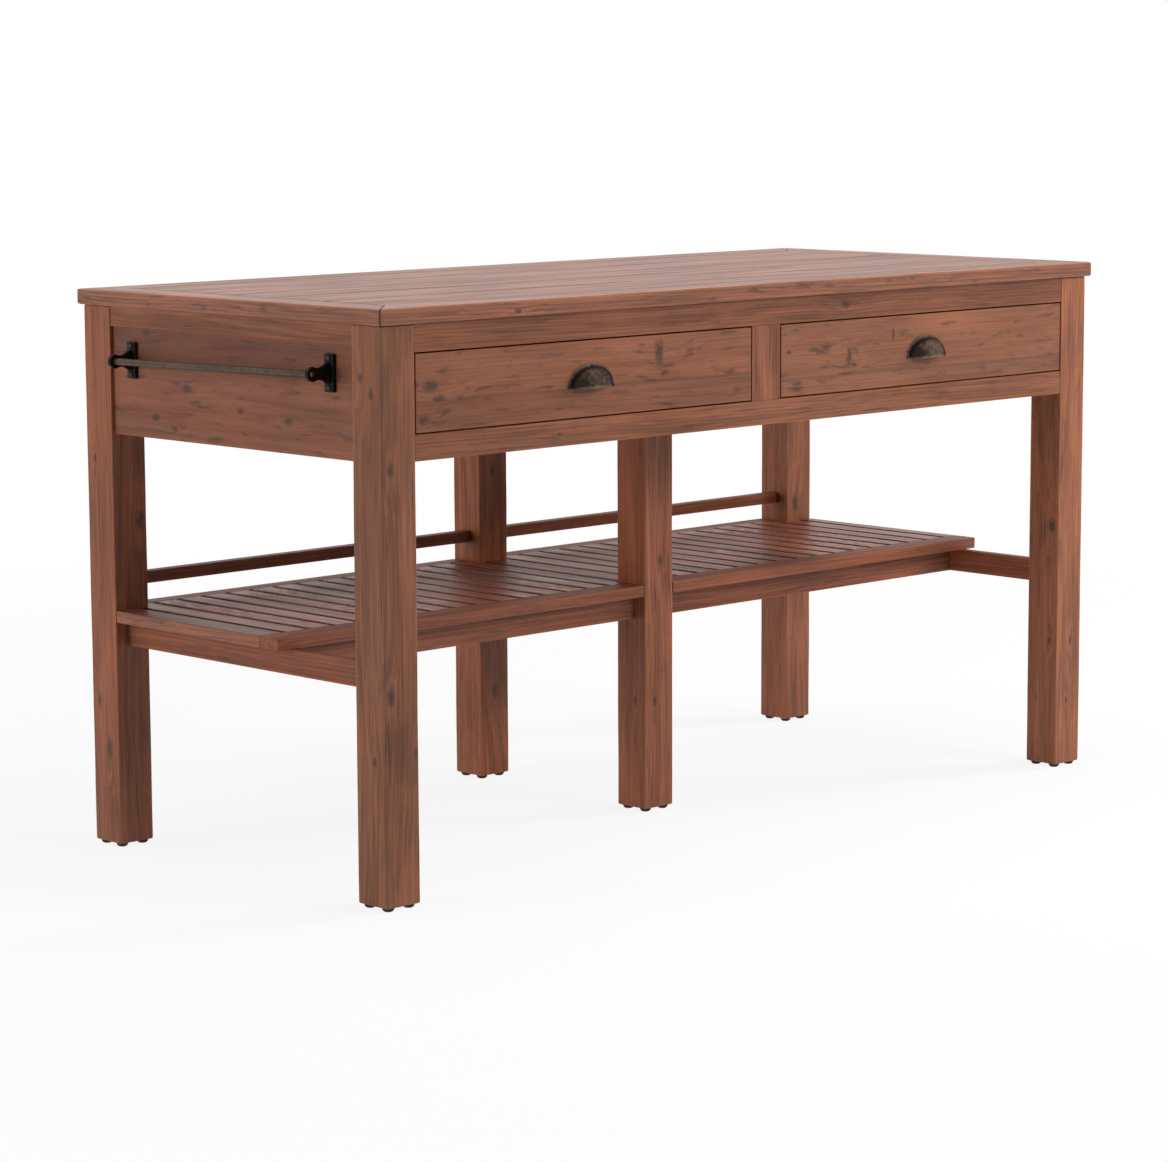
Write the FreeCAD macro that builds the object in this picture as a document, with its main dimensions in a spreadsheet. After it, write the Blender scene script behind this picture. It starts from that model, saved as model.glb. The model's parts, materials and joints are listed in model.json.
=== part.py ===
import FreeCAD, Part
import os
import Sketcher
from types import SimpleNamespace

# A free-standing kitchen island: a plank top in a mitred border on six square legs, two drawers in
# the long front, a towel bar on the left end and a slatted shelf over the back part of the depth.
# X runs along the length, the drawers face -Y, Z is up. The origin is on the floor, under the centre
# of the overall box. Pieces are laid out about the centre of the top and moved by centre_x, centre_y.

# Driving sizes in millimetres: name, value, what it measures
SIZES = [
    ("table_height", 914, "floor to the surface of the top"),
    ("top_length", 1690, "length of the top"),
    ("top_depth", 746, "depth of the top"),
    ("top_thick", 25, "thickness of the top"),
    ("top_overhang", 8, "top beyond the outer faces of the legs"),
    ("border_wide", 72, "width of the mitred border boards"),
    ("plank_one_wide", 139, "front plank of the field"),
    ("plank_two_wide", 124, "second plank"),
    ("plank_three_wide", 100, "third plank"),
    ("plank_four_wide", 122, "fourth plank; the fifth takes what is left"),
    ("plank_gap", 0.6, "shrinkage gap between planks"),
    ("leg_wide", 67, "side of the square legs"),
    ("leg_round", 3, "rounding of the legs' long edges"),
    ("glide_high", 6, "height of the nail-on glides"),
    ("glide_radius", 9.5, "radius of a glide"),
    ("glide_inset", 13, "glide centre from the faces of the leg"),
    ("front_inset", 1, "drawer fronts and rails behind the leg faces"),
    ("rail_thick", 24, "thickness of the apron rails"),
    ("upper_rail_high", 43, "height of the front upper rail"),
    ("opening_high", 124, "height of the drawer openings"),
    ("lower_rail_high", 40, "height of the front lower rail"),
    ("end_rail_inset", 2, "end rails behind the leg faces"),
    ("end_rail_high", 32, "height of the end rails"),
    ("panel_inset", 7, "end and back panels behind the leg faces"),
    ("panel_thick", 19, "thickness of the end and back panels"),
    ("tenon_thick", 9, "thickness of the tenons"),
    ("tenon_long", 25, "length of the tenons in the legs"),
    ("stub_long", 12, "length of the tenons between rails"),
    ("tenon_shoulder", 6, "shoulder above and below a tenon"),
    ("joint_gap", 0.2, "room round a tenon, tongue or housed end"),
    ("shelf_height", 393.5, "floor to the surface of the shelf"),
    ("shelf_thick", 19.5, "thickness of the shelf"),
    ("shelf_deep", 481, "shelf from its front edge to the backs of the back legs"),
    ("shelf_front_wide", 46, "width of the shelf's front boards"),
    ("shelf_back_wide", 36, "width of the shelf's back boards"),
    ("shelf_gap", 1.5, "room between the shelf and the legs"),
    ("slat_pitch", 50.8, "slat to slat"),
    ("slit_wide", 10, "open slit between two slats"),
    ("left_end_slat", 51, "left end of the shelf to the middle of its first slit"),
    ("right_end_slat", 35, "right end of the shelf to the middle of its last slit"),
    ("tongue_long", 8, "tongue on the slat ends"),
    ("tongue_thick", 6.5, "thickness of that tongue"),
    ("stretcher_high", 40, "height of the stretchers and shelf rails"),
    ("stretcher_thick", 19, "thickness of the stretchers and shelf rails"),
    ("guard_wide", 20, "side of the square guard rails"),
    ("guard_gap", 34.5, "shelf surface to the underside of the guard rails"),
    ("drawer_gap", 2.5, "gap round a drawer front"),
    ("drawer_front_thick", 22, "thickness of a drawer front"),
    ("drawer_deep", 480, "drawer from front face to the ends of its sides"),
    ("side_thick", 14, "thickness of the drawer sides and back"),
    ("side_drop", 11, "top of a drawer front down to the tops of its sides"),
    ("housing_deep", 7, "depth of the housings that hold the sides and the back"),
    ("back_setback", 8, "drawer back from the ends of the sides"),
    ("back_drop", 1, "top of a drawer front down to the drawer back, which meets the stop bar"),
    ("bottom_thick", 6, "thickness of the drawer bottom"),
    ("bottom_rise", 10, "drawer bottom above the lower edge of the sides"),
    ("groove_deep", 6, "depth of the grooves that hold the bottom"),
    ("runner_wide", 28, "width of a drawer runner"),
    ("runner_high", 22, "height of a drawer runner"),
    ("lip_thick", 4, "guide lip between leg and drawer side"),
    ("lip_high", 18, "height of the guide lip above the runner"),
    ("slide_gap", 0.5, "running gap between drawer and runner"),
    ("kick_gap", 1.5, "gap between drawer sides and kickers"),
    ("stop_setback", 110, "upper rail to the stop bar"),
    ("stop_thick", 25, "thickness of the stop bar"),
    ("back_stop_long", 14, "length of the blocks behind a closed drawer"),
    ("back_stop_high", 16, "height of those blocks"),
    ("top_screw_radius", 2.5, "shank of the screws that hold the top"),
    ("top_screw_bite", 16, "screw length inside the top"),
    ("top_head_radius", 5, "countersunk head radius"),
    ("top_head_high", 4, "countersunk head height"),
    ("top_screw_inset", 60, "first and last screw from the ends of a kicker"),
    ("pull_wide", 101, "width of a cup pull"),
    ("pull_high", 40, "height of a cup pull"),
    ("pull_reach", 22, "cup pull in front of the drawer front"),
    ("pull_band", 7, "flat band above the cup"),
    ("pull_ear", 9, "flat band at each end of the cup"),
    ("pull_lip_rise", 2.5, "lip of the cup above the lower edge of the band"),
    ("pull_wall", 2, "wall of the cup and thickness of the band"),
    ("pull_rise", 44, "lower edge of the drawer front to the cup pull"),
    ("pull_screw_inset", 9, "ends of the cup's hollow to the pull screws"),
    ("pull_screw_rise", 7, "pull screws above the lower edge of the cup"),
    ("pull_screw_radius", 2, "shank of a pull screw"),
    ("pull_screw_gap", 0.2, "room round a pull screw"),
    ("pull_head_radius", 4, "head of a pull screw"),
    ("pull_head_high", 3, "height of that head"),
    ("post_radius", 4, "threaded post inside the cup"),
    ("post_hole_deep", 7, "depth of the post's hole"),
    ("bar_radius", 5.5, "towel bar"),
    ("bar_gap", 0.2, "room round the bar in its brackets"),
    ("bar_recess", 1, "bar end inside the bracket's outer face"),
    ("bar_drop_front", 76.5, "underside of the top to the middle of the bar's front bracket"),
    ("bar_drop_back", 84.5, "the same at the back bracket, which is set a little lower"),
    ("bar_standoff", 38.5, "end panel to the middle of the bar"),
    ("bracket_inset", 54, "corner legs to the middles of the brackets"),
    ("plate_wide", 21, "width of a bracket's foot plate"),
    ("plate_high", 58, "height of the foot plate"),
    ("plate_thick", 6, "thickness of the foot plate"),
    ("web_thick", 6, "thickness of the bracket's web"),
    ("web_high", 32, "height of the web at the plate"),
    ("web_neck", 18, "height of the web at the boss"),
    ("web_flare", 24, "radius of the web's hollow flanks"),
    ("boss_radius", 11, "boss round the bar"),
    ("boss_long", 6, "length of the boss along the bar"),
    ("bracket_screw_inset", 6.5, "bracket screws from the ends of the plate"),
    ("bracket_screw_radius", 2.5, "shank of a bracket screw"),
    ("bracket_screw_long", 18, "length of a bracket screw under its head"),
    ("bracket_head_radius", 4.5, "head of a bracket screw"),
    ("bracket_head_high", 3.5, "height of that head"),
]

TOP_SCREW_PLACES = (0.0, 0.5, 1.0)
LEFT, RIGHT = -1, 1

doc = FreeCAD.newDocument("kitchen_island")
sheet = doc.addObject("Spreadsheet::Sheet", "Sizes")
for row, (alias, number, meaning) in enumerate(SIZES, start=1):
    sheet.set(f"A{row}", meaning)
    sheet.set(f"B{row}", str(number))
    sheet.setAlias(f"B{row}", alias)
doc.recompute()


class Size:
    """A length as an expression on the sheet's cells, so that plain arithmetic stays parametric."""

    def __init__(self, text):
        self.text = str(text)

    def __add__(self, other):
        return Size(f"({self.text} + {text_of(other)})")

    def __sub__(self, other):
        return Size(f"({self.text} - {text_of(other)})")

    def __mul__(self, factor):
        return Size(f"({self.text} * {text_of(factor)})")

    def __truediv__(self, divisor):
        return Size(f"({self.text} / {text_of(divisor)})")

    def __neg__(self):
        return Size(f"(0 - {self.text})")

    def number(self):
        return float(sheet.evalExpression(self.text))


def text_of(term):
    return term.text if isinstance(term, Size) else repr(float(term))


def not_negative(length):
    return Size(f"max({length.text}; 0)")


def around(middle, width):
    return (middle - width / 2, middle + width / 2)


def grown(span, margin):
    return (span[0] - margin, span[1] + margin)


def sided(side, span):
    """The span as given for the left side, mirrored for the right side."""
    return span if side == LEFT else (-span[1], -span[0])


size = SimpleNamespace(**{alias: Size(f"Sizes.{alias}") for alias, _, _ in SIZES})

# Planes that several pieces share, measured from the centre of the top
half_length = size.top_length / 2
half_depth = size.top_depth / 2
under_top = size.table_height - size.top_thick
leg_out_x = half_length - size.top_overhang
leg_out_y = half_depth - size.top_overhang
leg_in_x = leg_out_x - size.leg_wide
leg_in_y = leg_out_y - size.leg_wide
leg_mid_x = leg_out_x - size.leg_wide / 2
leg_mid_y = leg_out_y - size.leg_wide / 2
mid_face = size.leg_wide / 2
front_face = size.front_inset - leg_out_y
rail_back = front_face + size.rail_thick
back_face = leg_out_y - size.panel_inset - size.panel_thick
opening_top = under_top - size.upper_rail_high
opening_low = opening_top - size.opening_high
apron_low = opening_low - size.lower_rail_high
shelf_low = size.shelf_height - size.shelf_thick
shelf_front = leg_out_y - size.shelf_deep
shelf_mid_y = shelf_front + size.leg_wide / 2
shelf_span = (shelf_low, size.shelf_height)
stretcher_span = (shelf_low - size.stretcher_high, shelf_low)
panel_face = size.panel_inset - leg_out_x
plate_out = panel_face - size.plate_thick
bracket_out = leg_in_y - size.bracket_inset
bar_x = panel_face - size.bar_standoff
drawer_low = opening_low + size.drawer_gap
drawer_back = front_face + size.drawer_deep
drawer_top = opening_top - size.drawer_gap
runner_top = drawer_low - size.slide_gap
side_top = drawer_top - size.side_drop
kicker_low = side_top + size.kick_gap
kicker_wide = size.lip_thick + size.slide_gap + size.side_thick
pull_screw_out = size.pull_wide / 2 - size.pull_ear - size.pull_wall - size.pull_screw_inset

# The overall box reaches past the top at the towel bar and at the cup pulls
bar_reach = size.bar_standoff + size.boss_radius - size.panel_inset - size.top_overhang
pull_out = size.pull_reach - size.front_inset - size.top_overhang
centre_x = not_negative(bar_reach) / 2
centre_y = not_negative(pull_out) / 2

TURN_TO_Y = FreeCAD.Rotation(FreeCAD.Vector(1, 0, 0), -90)
TURN_TO_X = FreeCAD.Rotation(FreeCAD.Vector(0, 1, 0), 90)
nodes = []
spans = {}


def bind(item, **values):
    for name, length in values.items():
        item.setExpression(name, text_of(length))


def place(item, x, y, z, turn=None):
    """Put an object's own origin at x, y, z, measured from the centre of the top."""
    if turn is not None:
        item.Placement = FreeCAD.Placement(FreeCAD.Vector(), turn)
    for axis, length in zip("xyz", (x + centre_x, y + centre_y, z)):
        item.setExpression(f"Placement.Base.{axis}", text_of(length))


def node(label, item):
    """Name the object that becomes a piece of the island."""
    item.Label = label
    nodes.append(item)
    return item


def block(name, x, y, z):
    """A plain block between the ends of three spans."""
    item = doc.addObject("Part::Box", name)
    bind(item, Length=x[1] - x[0], Width=y[1] - y[0], Height=z[1] - z[0])
    place(item, x[0], y[0], z[0])
    return item


def rod(name, radius, length, x, y, z, turn=None):
    item = doc.addObject("Part::Cylinder", name)
    bind(item, Radius=radius, Height=length)
    place(item, x, y, z, turn)
    return item


def fused(name, items):
    item = doc.addObject("Part::MultiFuse", name)
    item.Shapes = items
    item.Refine = True
    return item


def cut(name, base, tools):
    item = doc.addObject("Part::Cut", name)
    item.Base = base
    item.Tool = tools[0] if len(tools) == 1 else fused(f"{name}_tools", tools)
    return item


def bundle(name, items):
    """Separate solids kept side by side in one object."""
    item = doc.addObject("Part::Compound", name)
    item.Links = items
    return item


def member(label, x, y, z):
    """A squared timber as a body of its own, ready for tenons, mortises and grooves."""
    body = node(label, doc.addObject("PartDesign::Body", label))
    spans[label] = (x, y, z)
    place(body, x[0], y[0], z[0])
    carve(label, "PartDesign::AdditiveBox", x, y, z)
    return body


def carve(label, kind, x, y, z):
    """Add or take away a block inside a member's body."""
    item = doc.getObject(label).newObject(kind, f"{label}_step")
    bind(item, Length=x[1] - x[0], Width=y[1] - y[0], Height=z[1] - z[0])
    for axis, span, base in zip("xyz", (x, y, z), spans[label]):
        item.setExpression(f"Placement.Base.{axis}", text_of(span[0] - base[0]))
    return item


def take_out(label, x, y, z):
    return carve(label, "PartDesign::SubtractiveBox", x, y, z)


def house(label, x, y, z):
    """A recess with room for the block that sits in it."""
    room = size.joint_gap
    return take_out(label, grown(x, room), grown(y, room), grown(z, room))


def tenon_spans(label, axis, end, length):
    shoulder = -size.tenon_shoulder
    x, y, z = spans[label]
    if axis == "z":
        block_spans = [grown(x, shoulder), around((y[0] + y[1]) / 2, size.tenon_thick), z]
    elif axis == "x":
        block_spans = [x, around((y[0] + y[1]) / 2, size.tenon_thick), grown(z, shoulder)]
    else:
        block_spans = [around((x[0] + x[1]) / 2, size.tenon_thick), y, grown(z, shoulder)]
    along = "xyz".index(axis)
    low, high = block_spans[along]
    block_spans[along] = (low - length, low) if end < 0 else (high, high + length)
    return block_spans


def join(label, axis, ends, length=None):
    """Tenon both ends of a member along an axis into the two pieces that carry it."""
    for end, carrier in zip((-1, 1), ends):
        tenon = tenon_spans(label, axis, end, length or size.tenon_long)
        carve(label, "PartDesign::AdditiveBox", *tenon)
        house(carrier, *tenon)


def legs():
    """Four corner legs, one at the middle of the back, one at the middle of the shelf's front edge."""
    left, right = (-leg_out_x, -leg_in_x), (leg_in_x, leg_out_x)
    middle = around(Size(0), size.leg_wide)
    front, back = (-leg_out_y, -leg_in_y), (leg_in_y, leg_out_y)
    set_back = (shelf_front, shelf_front + size.leg_wide)
    places = {
        "leg_front_left": (left, front),
        "leg_front_right": (right, front),
        "leg_back_left": (left, back),
        "leg_back_right": (right, back),
        "leg_middle_front": (middle, set_back),
        "leg_middle_back": (middle, back),
    }
    for label, (x, y) in places.items():
        member(label, x, y, (size.glide_high, under_top))
    doc.recompute()
    for label in places:
        round_long_edges(doc.getObject(label))
    node("leg_glides", bundle("leg_glides", [glide for x, y in places.values() for glide in glides(x, y)]))


def round_long_edges(body):
    blank = body.Tip
    upright = [f"Edge{count}" for count, edge in enumerate(blank.Shape.Edges, start=1)
               if abs(edge.tangentAt(edge.FirstParameter).z) > 0.9]
    rounding = body.newObject("PartDesign::Fillet", f"{body.Name}_rounding")
    rounding.Base = (blank, upright)
    bind(rounding, Radius=size.leg_round)


def glides(x, y):
    inset = size.glide_inset
    return [rod("glide", size.glide_radius, size.glide_high, gx, gy, Size(0))
            for gx in (x[0] + inset, x[1] - inset) for gy in (y[0] + inset, y[1] - inset)]


def top():
    """Field of planks inside four border boards that meet in mitres."""
    wide, long, deep = size.border_wide, size.top_length, size.top_depth
    zero = Size(0)
    inner_x, inner_y = half_length - wide, half_depth - wide
    mitred("top_border_front", -half_length, -half_depth,
           [(zero, zero), (long, zero), (long - wide, wide), (wide, wide)])
    mitred("top_border_back", -half_length, inner_y,
           [(wide, zero), (long - wide, zero), (long, wide), (zero, wide)])
    mitred("top_border_left", -half_length, -half_depth,
           [(zero, zero), (wide, wide), (wide, deep - wide), (zero, deep)])
    mitred("top_border_right", inner_x, -half_depth,
           [(wide, zero), (wide, deep), (zero, deep - wide), (zero, wide)])
    planks = []
    low = -inner_y
    widths = (size.plank_one_wide, size.plank_two_wide, size.plank_three_wide, size.plank_four_wide)
    for plank_wide in widths + (None,):
        high = low + plank_wide if plank_wide else inner_y
        y = grown((low, high), -size.plank_gap / 2)
        planks.append(block("plank", (-inner_x, inner_x), y, (under_top, size.table_height)))
        low = high
    node("top_planks", bundle("top_planks", planks))


def mitred(label, x, y, corners):
    """A border board padded up from its mitred outline."""
    body = node(label, doc.addObject("PartDesign::Body", label))
    place(body, x, y, under_top)
    sketch = body.newObject("Sketcher::SketchObject", f"{label}_outline")
    plane = [item for item in body.Origin.OriginFeatures if item.Role == "XY_Plane"][0]
    sketch.AttachmentSupport = [(plane, "")]
    sketch.MapMode = "FlatFace"
    points = [FreeCAD.Vector(px.number(), py.number(), 0) for px, py in corners]
    for start, end in zip(points, points[1:] + points[:1]):
        sketch.addGeometry(Part.LineSegment(start, end))
    last = len(points) - 1
    for line in range(len(points)):
        sketch.addConstraint(Sketcher.Constraint("Coincident", line - 1 if line else last, 2, line, 1))
    for line, corner in enumerate(corners):
        for kind, length in zip(("DistanceX", "DistanceY"), corner):
            rule = sketch.addConstraint(Sketcher.Constraint(kind, -1, 1, line, 1, length.number()))
            sketch.setExpression(f"Constraints[{rule}]", length.text)
    pad = body.newObject("PartDesign::Pad", f"{label}_board")
    pad.Profile = sketch
    bind(pad, Length=size.top_thick)


def apron():
    """Rails and divider of the drawer front, rails and panels of the ends, panels of the back."""
    front_y = (front_face, rail_back)
    across = (-leg_in_x, leg_in_x)
    front_legs = ("leg_front_left", "leg_front_right")
    member("front_upper_rail", across, front_y, (opening_top, under_top))
    member("front_lower_rail", across, front_y, (apron_low, opening_low))
    join("front_upper_rail", "x", front_legs)
    join("front_lower_rail", "x", front_legs)
    member("drawer_divider", around(Size(0), size.leg_wide), front_y, (opening_low, opening_top))
    join("drawer_divider", "z", ("front_lower_rail", "front_upper_rail"), size.stub_long)
    end_y = (-leg_in_y, leg_in_y)
    rail_low = under_top - size.end_rail_high
    rail_face = size.end_rail_inset - leg_out_x
    for side, word in ((LEFT, "left"), (RIGHT, "right")):
        end_legs = (f"leg_front_{word}", f"leg_back_{word}")
        rail_x = sided(side, (rail_face, rail_face + size.rail_thick))
        panel_x = sided(side, (panel_face, panel_face + size.panel_thick))
        member(f"end_rail_{word}", rail_x, end_y, (rail_low, under_top))
        member(f"end_panel_{word}", panel_x, end_y, (apron_low, rail_low))
        join(f"end_rail_{word}", "y", end_legs)
        join(f"end_panel_{word}", "y", end_legs)
        back_y = (back_face, back_face + size.panel_thick)
        member(f"back_panel_{word}", sided(side, (-leg_in_x, -mid_face)), back_y, (apron_low, under_top))
        join(f"back_panel_{word}", "x", back_legs(side))


def back_legs(side):
    """The two back legs of one half, in the order of X."""
    pair = ("leg_back_left", "leg_middle_back")
    return pair if side == LEFT else ("leg_middle_back", "leg_back_right")


def shelf_frame():
    """Stretchers and rails that carry the shelf, and the guard rails along its back."""
    thick = size.stretcher_thick
    between = (shelf_front + size.leg_wide, leg_in_y)
    member("middle_stretcher", around(Size(0), thick), between, stretcher_span)
    join("middle_stretcher", "y", ("leg_middle_front", "leg_middle_back"))
    guard_low = size.shelf_height + size.guard_gap
    for side, word in ((LEFT, "left"), (RIGHT, "right")):
        stretcher = f"end_stretcher_{word}"
        member(stretcher, sided(side, around(-leg_mid_x, thick)), (-leg_in_y, leg_in_y), stretcher_span)
        join(stretcher, "y", (f"leg_front_{word}", f"leg_back_{word}"))
        front_rail = f"shelf_rail_front_{word}"
        front_x = sided(side, (thick / 2 - leg_mid_x, -mid_face))
        member(front_rail, front_x, around(shelf_mid_y, thick), stretcher_span)
        carriers = (stretcher, "leg_middle_front") if side == LEFT else ("leg_middle_front", stretcher)
        join(front_rail, "x", carriers, size.stub_long)
        back_x = sided(side, (-leg_in_x, -mid_face))
        member(f"shelf_rail_back_{word}", back_x, around(leg_mid_y, thick), stretcher_span)
        join(f"shelf_rail_back_{word}", "x", back_legs(side), size.stub_long)
        guard_z = (guard_low, guard_low + size.guard_wide)
        member(f"guard_rail_{word}", back_x, around(leg_mid_y, size.guard_wide), guard_z)
        join(f"guard_rail_{word}", "x", back_legs(side))


def shelf():
    """Two panels of slats tongued into a front and a back board, notched round the legs."""
    seam = mid_face + size.shelf_gap
    front_y = (shelf_front, shelf_front + size.shelf_front_wide)
    back_y = (leg_out_y - size.shelf_back_wide, leg_out_y)
    left_slits = slit_places(size.left_end_slat - leg_out_x, seam, size.slat_pitch)
    right_slits = slit_places(leg_out_x - size.right_end_slat, seam, -size.slat_pitch)
    panels = (
        (LEFT, "left", (-leg_out_x, seam - size.slit_wide / 2), left_slits),
        (RIGHT, "right", (seam + size.slit_wide / 2, leg_out_x), right_slits),
    )
    for side, word, across, slits in panels:
        front = f"shelf_front_board_{word}"
        back = f"shelf_back_board_{word}"
        member(front, sided(side, (-leg_out_x, -seam)), front_y, shelf_span)
        member(back, sided(side, (size.shelf_gap - leg_in_x, -seam)), back_y, shelf_span)
        tongue_z = around((shelf_low + size.shelf_height) / 2, size.tongue_thick)
        tongue_y = (front_y[1] - size.tongue_long, back_y[0] + size.tongue_long)
        long_groove = grown((-leg_out_x, leg_out_x), size.joint_gap)
        house(front, long_groove, (tongue_y[0], front_y[1]), tongue_z)
        house(back, long_groove, (back_y[0], tongue_y[1]), tongue_z)
        core = block("slat_core", across, (front_y[1], back_y[0]), shelf_span)
        tongue = block("slat_tongues", across, tongue_y, tongue_z)
        sheet_of_slats = fused("slat_sheet", [core, tongue])
        gaps = [block("slit", around(place_x, size.slit_wide), grown(tongue_y, size.shelf_gap), shelf_span)
                for place_x in slits]
        slats = cut(f"shelf_slats_{word}", sheet_of_slats, gaps + leg_notches())
        node(f"shelf_slats_{word}", slats)


def slit_places(first, seam, step):
    """Middles of the slits from the shelf's end towards the seam, the last a whole slat away from it."""
    room = (seam - first).number() / step.number() - 1
    return [first + step * count for count in range(int(room) + 1)]


def leg_notches():
    """Room for the legs that stand in the slats."""
    room = size.shelf_gap
    middle = around(Size(0), size.leg_wide)
    back = (leg_in_y, leg_out_y)
    stands = (
        ((-leg_out_x, -leg_in_x), back),
        ((leg_in_x, leg_out_x), back),
        (middle, back),
        (middle, (shelf_front, shelf_front + size.leg_wide)),
    )
    return [block("leg_notch", grown(x, room), grown(y, room), shelf_span) for x, y in stands]


def drawer_supports():
    """Runners with a guide lip, kickers, stop bars, back stops and the screws that hold the top."""
    runners, kickers, stop_bars, back_stops, screws = [], [], [], [], []
    for side in (LEFT, RIGHT):
        for wall, inward in ((-leg_in_x, 1), (-mid_face, -1)):
            runners.append(runner(side, wall, inward))
            kicker_x = beside(side, wall, inward, (Size(0), kicker_wide))
            kickers.append(kicker(kicker_x))
            screws += [top_screw("top_screw", x, y, Size(0)) for x, y in top_screw_places(kicker_x)]
            back_stops.append(back_stop(side, wall, inward))
        stop_bars.append(stop_bar(side))
    node("drawer_runners", bundle("drawer_runners", runners))
    node("drawer_kickers", bundle("drawer_kickers", kickers))
    node("drawer_stop_bars", bundle("drawer_stop_bars", stop_bars))
    node("drawer_back_stops", bundle("drawer_back_stops", back_stops))
    node("top_screws", bundle("top_screws", screws))


def beside(side, wall, inward, depths):
    """A span measured from a wall of a drawer opening towards its inside, mirrored for the right side."""
    near, far = depths
    return sided(side, (wall + near, wall + far) if inward > 0 else (wall - far, wall - near))


def runner(side, wall, inward):
    along = (rail_back, back_face)
    base_x = beside(side, wall, inward, (Size(0), size.runner_wide))
    lip_x = beside(side, wall, inward, (Size(0), size.lip_thick))
    base = block("runner_base", base_x, along, (runner_top - size.runner_high, runner_top))
    lip = block("runner_lip", lip_x, along, (runner_top, runner_top + size.lip_high))
    return fused("runner", [base, lip])


def kicker(x):
    """A strip over the drawer side that keeps the open drawer from tipping and carries the top."""
    strip = block("kicker_strip", x, (rail_back, back_face), (kicker_low, under_top))
    holes = [top_screw("kicker_hole", hole_x, y, size.joint_gap) for hole_x, y in top_screw_places(x)]
    return cut("kicker", strip, holes)


def top_screw_places(kicker_x):
    first, last = rail_back + size.top_screw_inset, back_face - size.top_screw_inset
    middle_x = (kicker_x[0] + kicker_x[1]) / 2
    return [(middle_x, first + (last - first) * share) for share in TOP_SCREW_PLACES]


def back_stop(side, wall, inward):
    """A block on the runner that the closed drawer's side comes up against."""
    x = beside(side, wall, inward, (size.lip_thick + size.slide_gap, kicker_wide))
    front = drawer_back + size.slide_gap
    return block("back_stop", x, (front, front + size.back_stop_long),
                 (runner_top, runner_top + size.back_stop_high))


def stop_bar(side):
    """A bar between two kickers that catches the back of the open drawer."""
    x = sided(side, (kicker_wide - leg_in_x, -mid_face - kicker_wide))
    front = rail_back + size.stop_setback
    return block("stop_bar", x, (front, front + size.stop_thick), (kicker_low, under_top))


def top_screw(name, x, y, room):
    """A countersunk screw up through a kicker into the top, or the hole for it where room is not 0."""
    head = doc.addObject("Part::Cone", f"{name}_head")
    bind(head, Radius1=size.top_head_radius + room, Radius2=size.top_screw_radius + room)
    bind(head, Height=size.top_head_high)
    place(head, x, y, kicker_low)
    length = under_top + size.top_screw_bite - kicker_low
    shank = rod(f"{name}_shank", size.top_screw_radius + room, length, x, y, kicker_low)
    return fused(name, [head, shank])


def drawer(side, word):
    """A drawer box with its inset front, cup pull and pull screws."""
    opening = sided(side, (-leg_in_x, -mid_face))
    front_x = grown(opening, -size.drawer_gap)
    front_y = (front_face, front_face + size.drawer_front_thick)
    front = f"drawer_front_{word}"
    member(front, front_x, front_y, (drawer_low, drawer_top))
    inset = size.lip_thick + size.slide_gap
    side_y = (front_y[1] - size.housing_deep, drawer_back)
    side_z = (drawer_low, side_top)
    outer = (opening[0] + inset, opening[0] + inset + size.side_thick)
    inner = (opening[1] - inset - size.side_thick, opening[1] - inset)
    bottom_x = (outer[1] - size.groove_deep, inner[0] + size.groove_deep)
    bottom_y = (front_y[1] - size.groove_deep, drawer_back - size.back_setback)
    bottom_low = drawer_low + size.bottom_rise
    bottom_z = (bottom_low, bottom_low + size.bottom_thick)
    back_x = (outer[1] - size.housing_deep, inner[0] + size.housing_deep)
    back_y = (bottom_y[1] - size.side_thick, bottom_y[1])
    back_z = (bottom_z[1], drawer_top - size.back_drop)
    for name, x in ((f"drawer_side_{word}_a", outer), (f"drawer_side_{word}_b", inner)):
        member(name, x, side_y, side_z)
        house(name, bottom_x, (side_y[0], drawer_back), bottom_z)
        house(name, back_x, back_y, back_z)
        house(front, x, (side_y[0], front_y[1]), side_z)
    house(front, bottom_x, (bottom_y[0], front_y[1]), bottom_z)
    back = f"drawer_back_{word}"
    member(back, back_x, back_y, back_z)
    for ear in ((back_x[0], outer[1] + size.slide_gap), (inner[0] - size.slide_gap, back_x[1])):
        take_out(back, ear, back_y, (side_top, back_z[1]))
    member(f"drawer_bottom_{word}", bottom_x, bottom_y, bottom_z)
    middle_x = (front_x[0] + front_x[1]) / 2
    pull_low = drawer_low + size.pull_rise
    cup_pull(word, middle_x, pull_low)
    pull_screws(word, front, middle_x, pull_low + size.pull_screw_rise, front_y[1])


def ellipsoid(name, half_wide, half_deep, high, x, z):
    item = doc.addObject("Part::Ellipsoid", name)
    bind(item, Radius1=high, Radius2=half_wide, Radius3=half_deep)
    place(item, x, front_face, z)
    return item


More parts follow.
